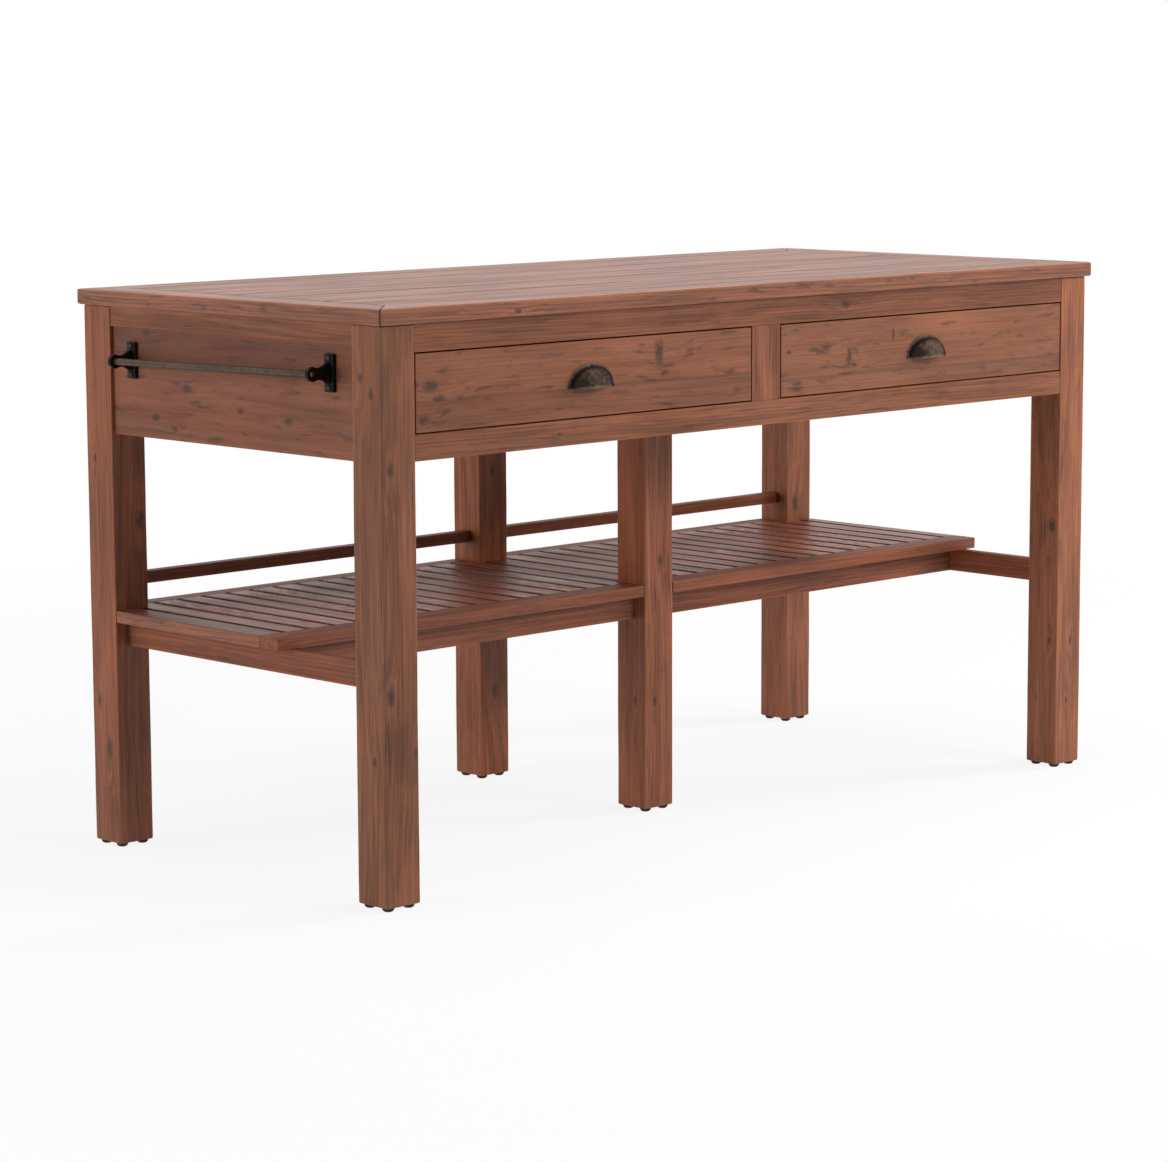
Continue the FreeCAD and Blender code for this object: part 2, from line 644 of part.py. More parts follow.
def cup_pull(word, x, z):
    """A half-round cup, open below and behind, on a flat band that lies against the drawer front."""
    half = size.pull_wide / 2
    outline = doc.addObject("Part::Ellipse", "pull_outline")
    bind(outline, MajorRadius=half, MinorRadius=size.pull_high)
    place(outline, x, front_face, z, FreeCAD.Rotation(FreeCAD.Vector(1, 0, 0), 90))
    band = doc.addObject("Part::Extrusion", "pull_band_disc")
    band.Base = outline
    band.DirMode = "Custom"
    band.Dir = FreeCAD.Vector(0, -1, 0)
    band.Solid = True
    bind(band, LengthFwd=size.pull_wall)
    cup_half, cup_high = half - size.pull_ear, size.pull_high - size.pull_band
    outer = ellipsoid("cup_outside", cup_half, size.pull_reach, cup_high, x, z)
    wall = size.pull_wall
    hollow = ellipsoid("cup_inside", cup_half - wall, size.pull_reach - wall, cup_high - wall, x, z)
    wide_x = around(x, size.pull_wide * 2)
    far_y = front_face - size.pull_wide
    quarter = doc.addObject("Part::Common", "pull_quarter")
    quarter.Base = cut("pull_hollowed", fused("pull_solid", [band, outer]), [hollow])
    quarter.Tool = block("pull_room", wide_x, (far_y, front_face), (z, z + size.pull_wide))
    lip_cut = block("lip_cut", wide_x, (far_y, front_face - wall), (z, z + size.pull_lip_rise))
    shell = cut("pull_shell", quarter, [lip_cut])
    posts, holes = [], []
    for hand in (LEFT, RIGHT):
        post_x = x + pull_screw_out * hand
        post_z = z + size.pull_screw_rise
        post_y = front_face - size.pull_reach
        post = doc.addObject("Part::Common", "pull_post")
        post.Base = rod("post_rod", size.post_radius, size.pull_reach, post_x, post_y, post_z, TURN_TO_Y)
        post.Tool = ellipsoid("post_end", cup_half, size.pull_reach, cup_high, x, z)
        posts.append(post)
        hole_radius = size.pull_screw_radius + size.pull_screw_gap
        hole_y = front_face - size.post_hole_deep
        holes.append(rod("post_hole", hole_radius, size.post_hole_deep, post_x, hole_y, post_z, TURN_TO_Y))
    node(f"cup_pull_{word}", cut(f"cup_pull_{word}", fused("pull_body", [shell] + posts), holes))


def pull_screws(word, front, x, z, inner_face):
    """Two machine screws from inside the drawer into the posts of the cup pull."""
    screws = []
    tip_y = front_face - size.post_hole_deep / 2
    for hand in (LEFT, RIGHT):
        screw_x = x + pull_screw_out * hand
        shank = rod("pull_shank", size.pull_screw_radius, inner_face - tip_y, screw_x, tip_y, z, TURN_TO_Y)
        head = rod("pull_head", size.pull_head_radius, size.pull_head_high, screw_x, inner_face, z, TURN_TO_Y)
        screws.append(fused("pull_screw", [shank, head]))
        hole = doc.getObject(front).newObject("PartDesign::SubtractiveCylinder", "pull_screw_hole")
        bind(hole, Radius=size.pull_screw_radius + size.pull_screw_gap, Height=size.drawer_front_thick)
        hole.Placement = FreeCAD.Placement(FreeCAD.Vector(), TURN_TO_Y)
        corner = [span[0] for span in spans[front]]
        hole.setExpression("Placement.Base.x", text_of(screw_x - corner[0]))
        hole.setExpression("Placement.Base.z", text_of(z - corner[2]))
    node(f"pull_screws_{word}", bundle(f"pull_screws_{word}", screws))


def towel_bar():
    """A round bar through two cast brackets on the left end panel, level or sloping as they are set."""
    front_z = under_top - size.bar_drop_front
    back_z = under_top - size.bar_drop_back
    run = bracket_out * 2 + size.boss_long - size.bar_recess * 2
    rise = (back_z - front_z) * run / (bracket_out * 2)
    length = Size(f"sqrt({run.text}^2 + {rise.text}^2)")
    start_z = (front_z + back_z - rise) / 2
    turn = FreeCAD.Rotation(FreeCAD.Vector(0, 0, 1), FreeCAD.Vector(0, run.number(), rise.number()))
    node("towel_bar", rod("towel_bar", size.bar_radius, length, bar_x, -run / 2, start_z, turn))
    screws = []
    for word, y, z in (("front", -bracket_out, front_z), ("back", bracket_out, back_z)):
        heights = [z + (size.plate_high / 2 - size.bracket_screw_inset) * up for up in (-1, 1)]
        node(f"towel_bracket_{word}", bracket(f"towel_bracket_{word}", y, z, heights))
        screws += [bracket_screw(y, height) for height in heights]
    node("bracket_screws", bundle("bracket_screws", screws))


def bracket(name, y, z, screw_heights):
    """Foot plate, web with hollow flanks, and a boss with the hole for the bar."""
    plate_x = (plate_out, panel_face)
    plate = block("plate", plate_x, around(y, size.plate_wide), around(z, size.plate_high))
    web = block("web", (bar_x, plate_out), around(y, size.web_thick), around(z, size.web_high))
    flank_x = bar_x + size.boss_radius
    rise = size.web_neck / 2 + size.web_flare
    flanks = [rod("web_flank", size.web_flare, size.web_thick, flank_x, y - size.web_thick / 2,
                  z + rise * up, TURN_TO_Y) for up in (-1, 1)]
    boss_y = y - size.boss_long / 2
    boss = rod("boss", size.boss_radius, size.boss_long, bar_x, boss_y, z, TURN_TO_Y)
    bore = rod("bar_bore", size.bar_radius + size.bar_gap, size.boss_long, bar_x, boss_y, z, TURN_TO_Y)
    hole_radius = size.bracket_screw_radius + size.joint_gap
    holes = [rod("plate_hole", hole_radius, size.plate_thick, plate_out, y, height, TURN_TO_X)
             for height in screw_heights]
    solid = fused(f"{name}_solid", [plate, cut("shaped_web", web, flanks), boss])
    return cut(name, solid, [bore] + holes)


def bracket_screw(y, z):
    head_x = plate_out - size.bracket_head_high
    head = rod("bracket_head", size.bracket_head_radius, size.bracket_head_high, head_x, y, z, TURN_TO_X)
    length = size.bracket_screw_long
    shank = rod("bracket_shank", size.bracket_screw_radius, length, plate_out, y, z, TURN_TO_X)
    return fused("bracket_screw", [head, shank])


def check_and_write():
    """Refuse a failed object or a broken shape, then write each piece."""
    doc.recompute()
    failed = [item.Name for item in doc.Objects if {"Invalid", "Error"} & set(item.State)]
    if failed:
        raise RuntimeError(f"failed objects: {failed}")
    for item in nodes:
        if item.Shape.isNull() or not item.Shape.isValid() or not item.Shape.Solids:
            raise RuntimeError(f"broken shape: {item.Label}")
    os.makedirs("parts", exist_ok=True)
    for item in nodes:
        item.Shape.exportStep(f"parts/{item.Label}.step")
        print(item.Label, len(item.Shape.Solids), round(item.Shape.Volume))


legs()
top()
apron()
shelf_frame()
shelf()
drawer_supports()
drawer(LEFT, "left")
drawer(RIGHT, "right")
towel_bar()
check_and_write()
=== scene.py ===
import json
import math
import random
from collections import namedtuple

import bmesh
import bpy
from bpy.props import FloatProperty, FloatVectorProperty, PointerProperty
from mathutils import Euler, Matrix, Vector, noise

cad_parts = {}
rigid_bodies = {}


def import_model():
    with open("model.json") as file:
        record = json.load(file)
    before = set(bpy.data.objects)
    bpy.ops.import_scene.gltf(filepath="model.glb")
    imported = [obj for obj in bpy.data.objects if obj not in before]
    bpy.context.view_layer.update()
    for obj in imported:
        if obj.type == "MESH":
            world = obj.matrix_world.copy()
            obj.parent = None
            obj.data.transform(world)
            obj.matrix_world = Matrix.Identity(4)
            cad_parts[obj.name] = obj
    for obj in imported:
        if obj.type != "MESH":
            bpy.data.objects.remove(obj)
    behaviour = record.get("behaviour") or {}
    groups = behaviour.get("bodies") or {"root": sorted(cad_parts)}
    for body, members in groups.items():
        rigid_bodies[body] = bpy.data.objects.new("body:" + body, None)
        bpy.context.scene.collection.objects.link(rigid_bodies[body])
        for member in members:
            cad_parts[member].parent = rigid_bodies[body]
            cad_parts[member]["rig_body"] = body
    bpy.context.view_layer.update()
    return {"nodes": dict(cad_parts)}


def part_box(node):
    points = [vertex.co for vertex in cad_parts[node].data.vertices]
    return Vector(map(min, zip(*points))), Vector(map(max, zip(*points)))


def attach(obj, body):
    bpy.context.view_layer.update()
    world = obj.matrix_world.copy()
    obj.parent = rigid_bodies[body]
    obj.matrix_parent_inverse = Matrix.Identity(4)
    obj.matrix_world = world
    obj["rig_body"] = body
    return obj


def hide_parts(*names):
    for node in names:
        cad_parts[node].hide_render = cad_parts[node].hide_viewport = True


bl_info = {
    "name": "Kitchen Island",
    "version": (1, 0, 0),
    "blender": (4, 5, 0),
    "location": "View3D > Sidebar > Island",
    "description": "Dresses the kitchen island in worn stained boards, metal fittings and a plain stage",
    "category": "Object",
}

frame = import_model()
MM = 0.001
X, Y, Z = range(3)

# The photograph's width, and the camera that took it: yaw from +Y towards +X, pitch above level, in degrees
PICTURE_WIDE = 1168
FOCAL_PIXELS = 3654.5
SENSOR_WIDE = 36.0
CAMERA_PLACE = Vector((-4.36644, -4.43733, 1.28032))
CAMERA_YAW = 44.1814
CAMERA_PITCH = -8.1501
CAMERA_ROLL = 0.2509

# The centre of the top in the row frame, from which marks on the boards are measured in millimetres
ISLAND_CENTRE = Vector((
    (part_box("top_border_left")[0].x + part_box("top_border_right")[1].x) / 2,
    (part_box("top_border_front")[0].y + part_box("top_border_back")[1].y) / 2,
    0,
))

# Distances under which points of a copied or meshed shape are one point
LOOSE_GAP = 0.01 * MM
SLIVER_GAP = 0.02 * MM

# Shape of a worn board: rounding steps at its long edges and at its ends, how far the wear of an edge
# reaches onto the flat faces beside it, the length of its sections, and the short ones at a square notch
ARC_STEPS = 2
CAP_STEPS = 2
WEAR_REACH = 4 * MM
SECTION_STEP = 45 * MM
NOTCH_STEP = 0.05 * MM

# The long edges of a board as signs across it and up it. Each takes an arc and a point on either side
CORNERS = ((1, 1), (-1, 1), (-1, -1), (1, -1))
SECTION_POINTS = len(CORNERS) * (ARC_STEPS + 3)

# Worn edges: waves for each metre along them, how far apart in the noise the four lie, the steady and the
# changing share of the rounding, the most of a thin board it takes, and the fainter mark where it ends
EDGE_WAVES = 11
EDGE_APART = 5.3
STEADY_ROUND = 0.85
CHANGING_ROUND = 0.45
MOST_ROUND = 0.9
FAINT_MARK = 0.6

# Marks on the edges of boards: rubbed paler, a faint dark line, and a seam full of dark wax, which also
# serves as painted shade on the slats' sides in the slits
RUBBED = 1.0
DARK_LINE = -0.6
SEAM_WAX_AND_SHADE = -1.0

# A bite off one side of a board between two places along it. A soft one starts and ends gently
Trim = namedtuple("Trim", "axis side start end amount soft")
SOFT_RISE = 4

# A board's cut from the tree: farthest place along it, and how far the pith lies aside and under it. The
# slats of a row have a range of their own, and shades of their stain
FAR_ALONG = 40
PITH_ASIDE = 50 * MM
PITH_UNDER = (25 * MM, 110 * MM)
SLAT_PITH_UNDER = (30 * MM, 100 * MM)
SLAT_SHADES = (0.85, 1.15)

# A stain that changes nothing, the knots that one board can hold, and a knot too far away to show
PLAIN_STAIN = (1, 1, 1)
KNOTS_PER_BOARD = 6
FAR_KNOT = (900.0, 0.0, 0.0, 0.0)

# Sockets of a Mix node for vectors and for colours
FACTOR = 0
VECTOR_A, VECTOR_B, MIXED_VECTOR = 4, 5, 1
COLOUR_A, COLOUR_B, MIXED_COLOUR = 6, 7, 2

# How fast a knot ends along, across and through the board: cut across its branch, cut along it as a spike,
# and the wider swelling of the grain round it. Then the rim of its core and the most that rim strays, in
# radii, and a radius that keeps an empty knot from dividing by nothing
ROUND_KNOT = (0.55, 1.0, 1.0)
SPIKE_KNOT = (1.0, 0.36, 0.36)
KNOT_SWELL = (0.12, 0.4, 0.3)
CORE_FULL = 0.3
CORE_END = 1.5
RIM_STRAY = 0.8
LEAST_RADIUS = 0.1 * MM

# Patterns in the wood: length along the board and width across it in millimetres, and octaves of detail.
# The first table lies still, and the second drifts with the fibres and bends round the knots
STILL_PATTERNS = {
    "wander": (588, 125, 1.0),  # fibres that drift sideways
    "blotch": (250, 77, 3.0),  # clouds in the stain
    "ragged": (11, 7, 2.0),  # lobes on the rims of knots
}
BENT_PATTERNS = {
    "streak": (454.5, 13.3, 6.0),  # streaks where the stain ran in
    "fibre": (200, 3.3, 4.0),  # open grain, drawn coarser than it is so that it shows
    "smudge": (50, 10.5, 3.0),  # dark smears
    "tick": (125, 4, 3.0),  # lines of dark late wood
}
FIBRE_DRIFT = 20 * MM

# Growth rings: their width, the slope of the pith along the board, how far a knot's swelling lifts them and
# how many rings a cloud shifts them. Then how dark a ring is from its early wood on, and at both its ends
RING_WIDE = 5.5 * MM
PITH_SLOPE = 0.012
KNOT_LIFT = 0.7
CLOUD_SHIFT = 1.5
RING_SHADES = ((0.35, 0.25), (0.75, 0.95), (0.88, 0.8))
RING_END_SHADE = 0.05

# How much of the dark stain the wood takes: its middle share, what rings add and what a finish full of
# lines leaves out, and for each pattern where in its range it starts and ends and the share it brings
MIDDLE_TAKES = 0.5
RING_TAKES = 0.24
LINES_PALER = 0.45
STREAK_TAKES = (0.33, 0.68, 0.28)
CLOUD_TAKES = (0.3, 0.7, 0.36)
FIBRE_TAKES = (0.3, 0.7, 0.45)

# Dark marks: where in their patterns lines, clouds and smears start and end, and how dark they are
TICK_MARKS = (0.56, 0.7, 0.62)
MARKED_CLOUDS = (0.34, 0.52, 1.0)
SMUDGE_MARKS = (0.58, 0.72, 0.55)

# How far marks, wax in a seam with the painted shade in the slits, and paler wood on a rubbed edge
# cover the stain, and how much paler that is
MARKS_COVER = 0.85
WAX_AND_SHADE_COVERS = 0.9
RUB_COVERS = 0.45
RUBBED_PALER = 1.25

# The skin of the wood: how far it is smoother and rougher than its finish along the streaks, heights of
# fibres and marks against the rings, and strength and depth of the relief
SMOOTHER = 0.14
ROUGHER = 0.3
FIBRE_HEIGHT = 0.5
MARK_HEIGHT = -1.5
GRAIN_STRENGTH = 0.3
GRAIN_DEPTH = 0.35 * MM
WAX_IOR = 1.5

# A rubbed finish: its patches against its grit, where in the two patterns it is worn, how far that takes
# it, how the worn finish is smoother, and the strength of its relief
PATCH_WIDE = 9
WORN_FROM = (0.12, 0.4)
WORN_TO = (0.25, 0.75)
DULL_ROUGHER = 0.1
WORN_SMOOTHER = 0.06
GRIT_STRENGTH = 0.35

# Sides of a round head or foot and of a shank, power of a dome's curve, and a slot's length in head radii
HEAD_SIDES = 28
SHANK_SIDES = 16
DOME_POWER = 3.0
BLADE_LONG = 3.0


def linear(hex_text):
    """An sRGB hex colour as linear red, green and blue."""
    channels = [int(hex_text[i:i + 2], 16) / 255 for i in (1, 3, 5)]
    return tuple(c / 12.92 if c <= 0.04045 else ((c + 0.055) / 1.055) ** 2.4 for c in channels)


def shaded(colour, times):
    """A colour made lighter or darker, up to white."""
    return tuple(min(1.0, times * channel) for channel in colour)


def at(x, y, z):
    """A point in the row frame from millimetres about the centre of the island's top."""
    return ISLAND_CENTRE + Vector((x, y, z)) * MM


def on_axes(along, *parts):
    """A vector in the row frame from its parts along a board, across it and up it."""
    return Vector([parts[(axis - along) % 3] for axis in range(3)])


def along_board(along, vector):
    """A vector of the row frame in its parts along a board, across it and up it."""
    return Vector([vector[(along + i) % 3] for i in range(3)])


def box_of(spots):
    """The lowest and the highest corner round some points."""
    return [Vector([pick(spot[axis] for spot in spots) for axis in range(3)]) for pick in (min, max)]


def length_setting(label, description, millimetres):
    """A length in the panel."""
    return FloatProperty(name=label, description=description, default=millimetres * MM, unit="LENGTH")


def colour_setting(label, description, hex_text):
    """A colour in the panel."""
    return FloatVectorProperty(name=label, description=description, subtype="COLOR", size=3,
                               default=linear(hex_text))


class IslandSizes(bpy.types.PropertyGroup):
    """Sizes of the finish that a maker would change."""

    edge_round: length_setting("Edge rounding", "Rounding of the sanded board edges", 1.1)
    top_round: length_setting("Top rounding", "Rounding of the worn outer edges of the top", 3.4)
    leg_round: length_setting("Leg rounding", "Rounding of the legs' long edges", 2.6)
    slat_round: length_setting("Slat rounding", "Rounding of the shelf slats", 1.6)
    joint_round: length_setting("Joint rounding", "Rounding of edges that meet another board", 0.4)
    mitre_round: length_setting("Mitre rounding", "Rounding of the border boards where they meet", 2.4)
    seam_round: length_setting("Seam rounding", "Rounding of the top's board edges at a seam", 3.4)
    seam_open: length_setting("Open seam", "How far a plank has shrunk back at an open seam", 2.5)
    cast_round: length_setting("Casting rounding", "Rounding of the cast brackets' edges", 0.9)
    lip_bead: length_setting("Lip bead", "Radius of the rolled lip of a cup pull", 1.5)
    slot_wide: length_setting("Screw slot", "Width of the slot in a screw head", 1.2)


class IslandColours(bpy.types.PropertyGroup):
    """Colours of the finishes."""

    stain_light: colour_setting("Stain, light", "Stain on the soft early wood", "#a46444")
    stain_dark: colour_setting("Stain, dark", "Stain on the hard late wood", "#653d29")
    knot: colour_setting("Knots", "Knots, dents and open grain", "#33231b")
    raw_light: colour_setting("Raw pine, light", "Unstained early wood of the drawer boxes", "#dcc29c")
    raw_dark: colour_setting("Raw pine, dark", "Unstained late wood of the drawer boxes", "#c19c72")
    bronze: colour_setting("Bronze", "Rubbed antique bronze of the pulls", "#9c7e69")
    rod: colour_setting("Rod", "Rubbed antique bronze of the towel bar", "#6c5746")
    patina: colour_setting("Patina", "Dark patina on the bronze", "#2f2620")
    iron: colour_setting("Iron", "Black wax on the cast brackets", "#0f0c09")
    steel: colour_setting("Steel", "Zinc-plated screws", "#a5a49f")
    plastic: colour_setting("Glides", "Dark brown plastic of the glides", "#241c18")
    floor: colour_setting("Floor", "Plain pale floor", "#ececec")


def sizes():
    """The sizes that the panel shows."""
    return bpy.context.scene.island_sizes


def colours():
    """The colours that the panel shows."""
    return bpy.context.scene.island_colours


def add(tree, kind, inputs=None, out=0, **settings):
    """Adds a node and gives one of its outputs, or all of them where out is None. Settings are its
    properties; each input is a value or another node's output."""
    node = tree.nodes.new(kind)
    for key, value in settings.items():
        setattr(node, key, value)
    for key, value in (inputs or {}).items():
        if isinstance(value, bpy.types.NodeSocket):
            tree.links.new(value, node.inputs[key])
        else:
            node.inputs[key].default_value = value
    return node.outputs if out is None else node.outputs[out]


def new_material(name):
    """An empty node material and its tree."""
    material = bpy.data.materials.new(name)
    material.use_nodes = True
    material.node_tree.nodes.clear()
    return material, material.node_tree


def knot_group():
    """One knot: how far its core covers a point, and how far it pushes the grain aside there. A negative
    radius makes it a spike knot, sliced along its branch and so long across the grain."""
    name = "pine_knot"
    if name in bpy.data.node_groups:
        return bpy.data.node_groups[name]
    tree = bpy.data.node_groups.new(name, "ShaderNodeTree")
    for socket, kind in (("Grain", "NodeSocketVector"), ("Knot", "NodeSocketVector"),
                         ("Radius", "NodeSocketFloat"), ("Ragged", "NodeSocketFloat")):
        tree.interface.new_socket(socket, in_out="INPUT", socket_type=kind)
    for socket in ("Core", "Swell"):
        tree.interface.new_socket(socket, in_out="OUTPUT", socket_type="NodeSocketFloat")

    # The way from the knot to the point, in radii
    given = add(tree, "NodeGroupInput", out=None)
    away = add(tree, "ShaderNodeVectorMath", {0: given["Grain"], 1: given["Knot"]}, operation="SUBTRACT")
    size = add(tree, "ShaderNodeMath", {0: given["Radius"]}, operation="ABSOLUTE")
    radius = add(tree, "ShaderNodeMath", {0: size, 1: LEAST_RADIUS}, operation="MAXIMUM")
    per_radius = add(tree, "ShaderNodeMath", {0: 1.0, 1: radius}, operation="DIVIDE")
    near = add(tree, "ShaderNodeVectorMath", {0: away, "Scale": per_radius}, operation="SCALE")

    # A dark oval core with a ragged rim
    spike = add(tree, "ShaderNodeMath", {0: given["Radius"], 1: 0.0}, operation="LESS_THAN")
    shape = add(tree, "ShaderNodeMix", {FACTOR: spike, VECTOR_A: ROUND_KNOT, VECTOR_B: SPIKE_KNOT},
                MIXED_VECTOR, data_type="VECTOR")
    oval = add(tree, "ShaderNodeVectorMath", {0: near, 1: shape}, operation="MULTIPLY")
    reach = add(tree, "ShaderNodeVectorMath", {0: oval}, "Value", operation="LENGTH")
    rim = add(tree, "ShaderNodeMath", {0: reach, 1: given["Ragged"]}, operation="ADD")
    core = add(tree, "ShaderNodeMapRange", {"Value": rim, "From Min": CORE_END, "From Max": CORE_FULL},
               interpolation_type="SMOOTHSTEP")

    # A bell-shaped swelling that is as high as the knot's radius
    spread = add(tree, "ShaderNodeVectorMath", {0: near, 1: KNOT_SWELL}, operation="MULTIPLY")
    square = add(tree, "ShaderNodeVectorMath", {0: spread, 1: spread}, "Value", operation="DOT_PRODUCT")
    fall = add(tree, "ShaderNodeMath", {0: square, 1: -1.0}, operation="MULTIPLY")
    bell = add(tree, "ShaderNodeMath", {0: fall}, operation="EXPONENT")
    swell = add(tree, "ShaderNodeMath", {0: bell, 1: radius}, operation="MULTIPLY")
    add(tree, "NodeGroupOutput", {"Core": core, "Swell": swell}, None)
    return tree


def board_knots(tree, grain, ragged):
    """All the knots that a board carries: how far their cores cover a point, and how far they push its
    grain aside."""
    stray = add(tree, "ShaderNodeMapRange", {"Value": ragged, "To Min": -RIM_STRAY, "To Max": RIM_STRAY})
    group = knot_group()
    core, swell = 0.0, 0.0
    for number in range(1, KNOTS_PER_BOARD + 1):
        mark = add(tree, "ShaderNodeAttribute", out=None, attribute_name=f"knot_{number}")
        inputs = {"Grain": grain, "Knot": mark["Vector"], "Radius": mark["Alpha"], "Ragged": stray}
        one = add(tree, "ShaderNodeGroup", inputs, None, node_tree=group)
        core = add(tree, "ShaderNodeMath", {0: core, 1: one["Core"]}, operation="MAXIMUM")
        swell = add(tree, "ShaderNodeMath", {0: swell, 1: one["Swell"]}, operation="ADD")
    return core, swell


def wood_patterns(tree, place, table):
    """Patterns drawn out along the fibres, by name, from a table of their sizes."""
    patterns = {}
    for name, (long, wide, detail) in table.items():
        repeats = (1 / (long * MM), 1 / (wide * MM), 1 / (wide * MM))
        spread = add(tree, "ShaderNodeVectorMath", {0: place, 1: repeats}, operation="MULTIPLY")
        inputs = {"Vector": spread, "Scale": 1.0, "Detail": detail}
        patterns[name] = add(tree, "ShaderNodeTexNoise", inputs)
    return patterns


def growth_rings(tree, grain, drift, swell, blotch):
    """Pale early wood and dark late wood, in rings about a pith that lies askew under the board."""
    axes = add(tree, "ShaderNodeSeparateXYZ", {0: grain}, None)
    across = add(tree, "ShaderNodeMath", {0: axes["Y"], 1: drift}, operation="ADD")
    lifted = add(tree, "ShaderNodeMath", {0: swell, 1: KNOT_LIFT, 2: axes["Z"]}, operation="MULTIPLY_ADD")
    depth = add(tree, "ShaderNodeMath", {0: axes["X"], 1: PITH_SLOPE, 2: lifted}, operation="MULTIPLY_ADD")
    askew = add(tree, "ShaderNodeCombineXYZ", {"Y": across, "Z": depth})
    pith = add(tree, "ShaderNodeVectorMath", {0: askew}, "Value", operation="LENGTH")
    uneven = add(tree, "ShaderNodeMath", {0: blotch, 1: CLOUD_SHIFT}, operation="MULTIPLY")
    count = add(tree, "ShaderNodeMath", {0: pith, 1: 1 / RING_WIDE, 2: uneven}, operation="MULTIPLY_ADD")
    within = add(tree, "ShaderNodeMath", {0: count}, operation="FRACT")
    ring = add(tree, "ShaderNodeValToRGB", {"Fac": within})
    shades = ring.node.color_ramp.elements
    for place, shade in RING_SHADES:
        shades.new(place).color = (shade, shade, shade, 1)
    for end in (shades[0], shades[-1]):
        end.color = (RING_END_SHADE, RING_END_SHADE, RING_END_SHADE, 1)
    return ring


def stain_taken(tree, patterns, ring, lines):
    """How dark the stain took, from rings, streaks, clouds and fibres together."""
    inputs = {0: ring, 1: RING_TAKES * lines, 2: MIDDLE_TAKES - LINES_PALER * lines}
    taken = add(tree, "ShaderNodeMath", inputs, operation="MULTIPLY_ADD")
    for key, (start, end, share), strength in (("streak", STREAK_TAKES, lines),
                                               ("blotch", CLOUD_TAKES, 1.0),
                                               ("fibre", FIBRE_TAKES, lines)):
        inputs = {"Value": patterns[key], "From Min": start, "From Max": end, "To Max": share * strength}
        part = add(tree, "ShaderNodeMapRange", inputs)
        taken = add(tree, "ShaderNodeMath", {0: taken, 1: part}, operation="ADD")
    return taken


def dark_marks(tree, patterns, core, lines, smears):
    """Lines of late wood, kept to the clouds that took more stain, with smears and knots."""
    shown = {}
    for key, (start, end, share), strength, rise in (("tick", TICK_MARKS, lines, "SMOOTHSTEP"),
                                                     ("blotch", MARKED_CLOUDS, 1.0, "LINEAR"),
                                                     ("smudge", SMUDGE_MARKS, smears, "LINEAR")):
        inputs = {"Value": patterns[key], "From Min": start, "From Max": end, "To Max": share * strength}
        shown[key] = add(tree, "ShaderNodeMapRange", inputs, interpolation_type=rise)
    marks = add(tree, "ShaderNodeMath", {0: shown["tick"], 1: shown["blotch"]}, operation="MULTIPLY")
    for other in (shown["smudge"], core):
        marks = add(tree, "ShaderNodeMath", {0: marks, 1: other}, operation="MAXIMUM")
    return marks


def wood_fibres(tree):
    """Fibres that drift sideways and bend round the knots: their patterns, the cores and the rings."""
    grain = add(tree, "ShaderNodeAttribute", out="Vector", attribute_name="grain")
    patterns = wood_patterns(tree, grain, STILL_PATTERNS)
    core, swell = board_knots(tree, grain, patterns["ragged"])
    inputs = {"Value": patterns["wander"], "To Min": -FIBRE_DRIFT, "To Max": FIBRE_DRIFT}
    drift = add(tree, "ShaderNodeMapRange", inputs)
    aside = add(tree, "ShaderNodeMath", {0: drift, 1: swell}, operation="ADD")
    bend = add(tree, "ShaderNodeCombineXYZ", {"Y": aside, "Z": aside})
    bent = add(tree, "ShaderNodeVectorMath", {0: grain, 1: bend}, operation="ADD")
    patterns.update(wood_patterns(tree, bent, BENT_PATTERNS))
    return patterns, core, growth_rings(tree, grain, drift, swell, patterns["blotch"])


def wood_colour(tree, patterns, taken, marks, light, dark, knot):
    """Stained wood with its dark marks. Seams hold dark wax, the slats' sides get painted shade in the
    slits, and outer edges are rubbed a little paler.
    """
    stain = add(tree, "ShaderNodeAttribute", out="Vector", attribute_name="stain")
    edge = add(tree, "ShaderNodeAttribute", out="Fac", attribute_name="edge")
    wood = add(tree, "ShaderNodeMix", {FACTOR: taken, COLOUR_A: (*light, 1), COLOUR_B: (*dark, 1)},
               MIXED_COLOUR, data_type="RGBA")
    wood = add(tree, "ShaderNodeVectorMath", {0: wood, 1: stain}, operation="MULTIPLY")
    marked = add(tree, "ShaderNodeMath", {0: marks, 1: MARKS_COVER}, operation="MULTIPLY")
    wax_and_painted_shade = add(tree, "ShaderNodeMath", {0: edge, 1: -WAX_AND_SHADE_COVERS}, operation="MULTIPLY", use_clamp=True)
    rubbed = add(tree, "ShaderNodeMath", {0: edge, 1: patterns["streak"]}, operation="MULTIPLY")
    rubbed = add(tree, "ShaderNodeMath", {0: rubbed, 1: RUB_COVERS}, operation="MULTIPLY", use_clamp=True)
    for share, colour in ((marked, knot), (wax_and_painted_shade, knot), (rubbed, shaded(light, RUBBED_PALER))):
        wood = add(tree, "ShaderNodeMix", {FACTOR: share, COLOUR_A: wood, COLOUR_B: (*colour, 1)},
                   MIXED_COLOUR, data_type="RGBA")
    return wood


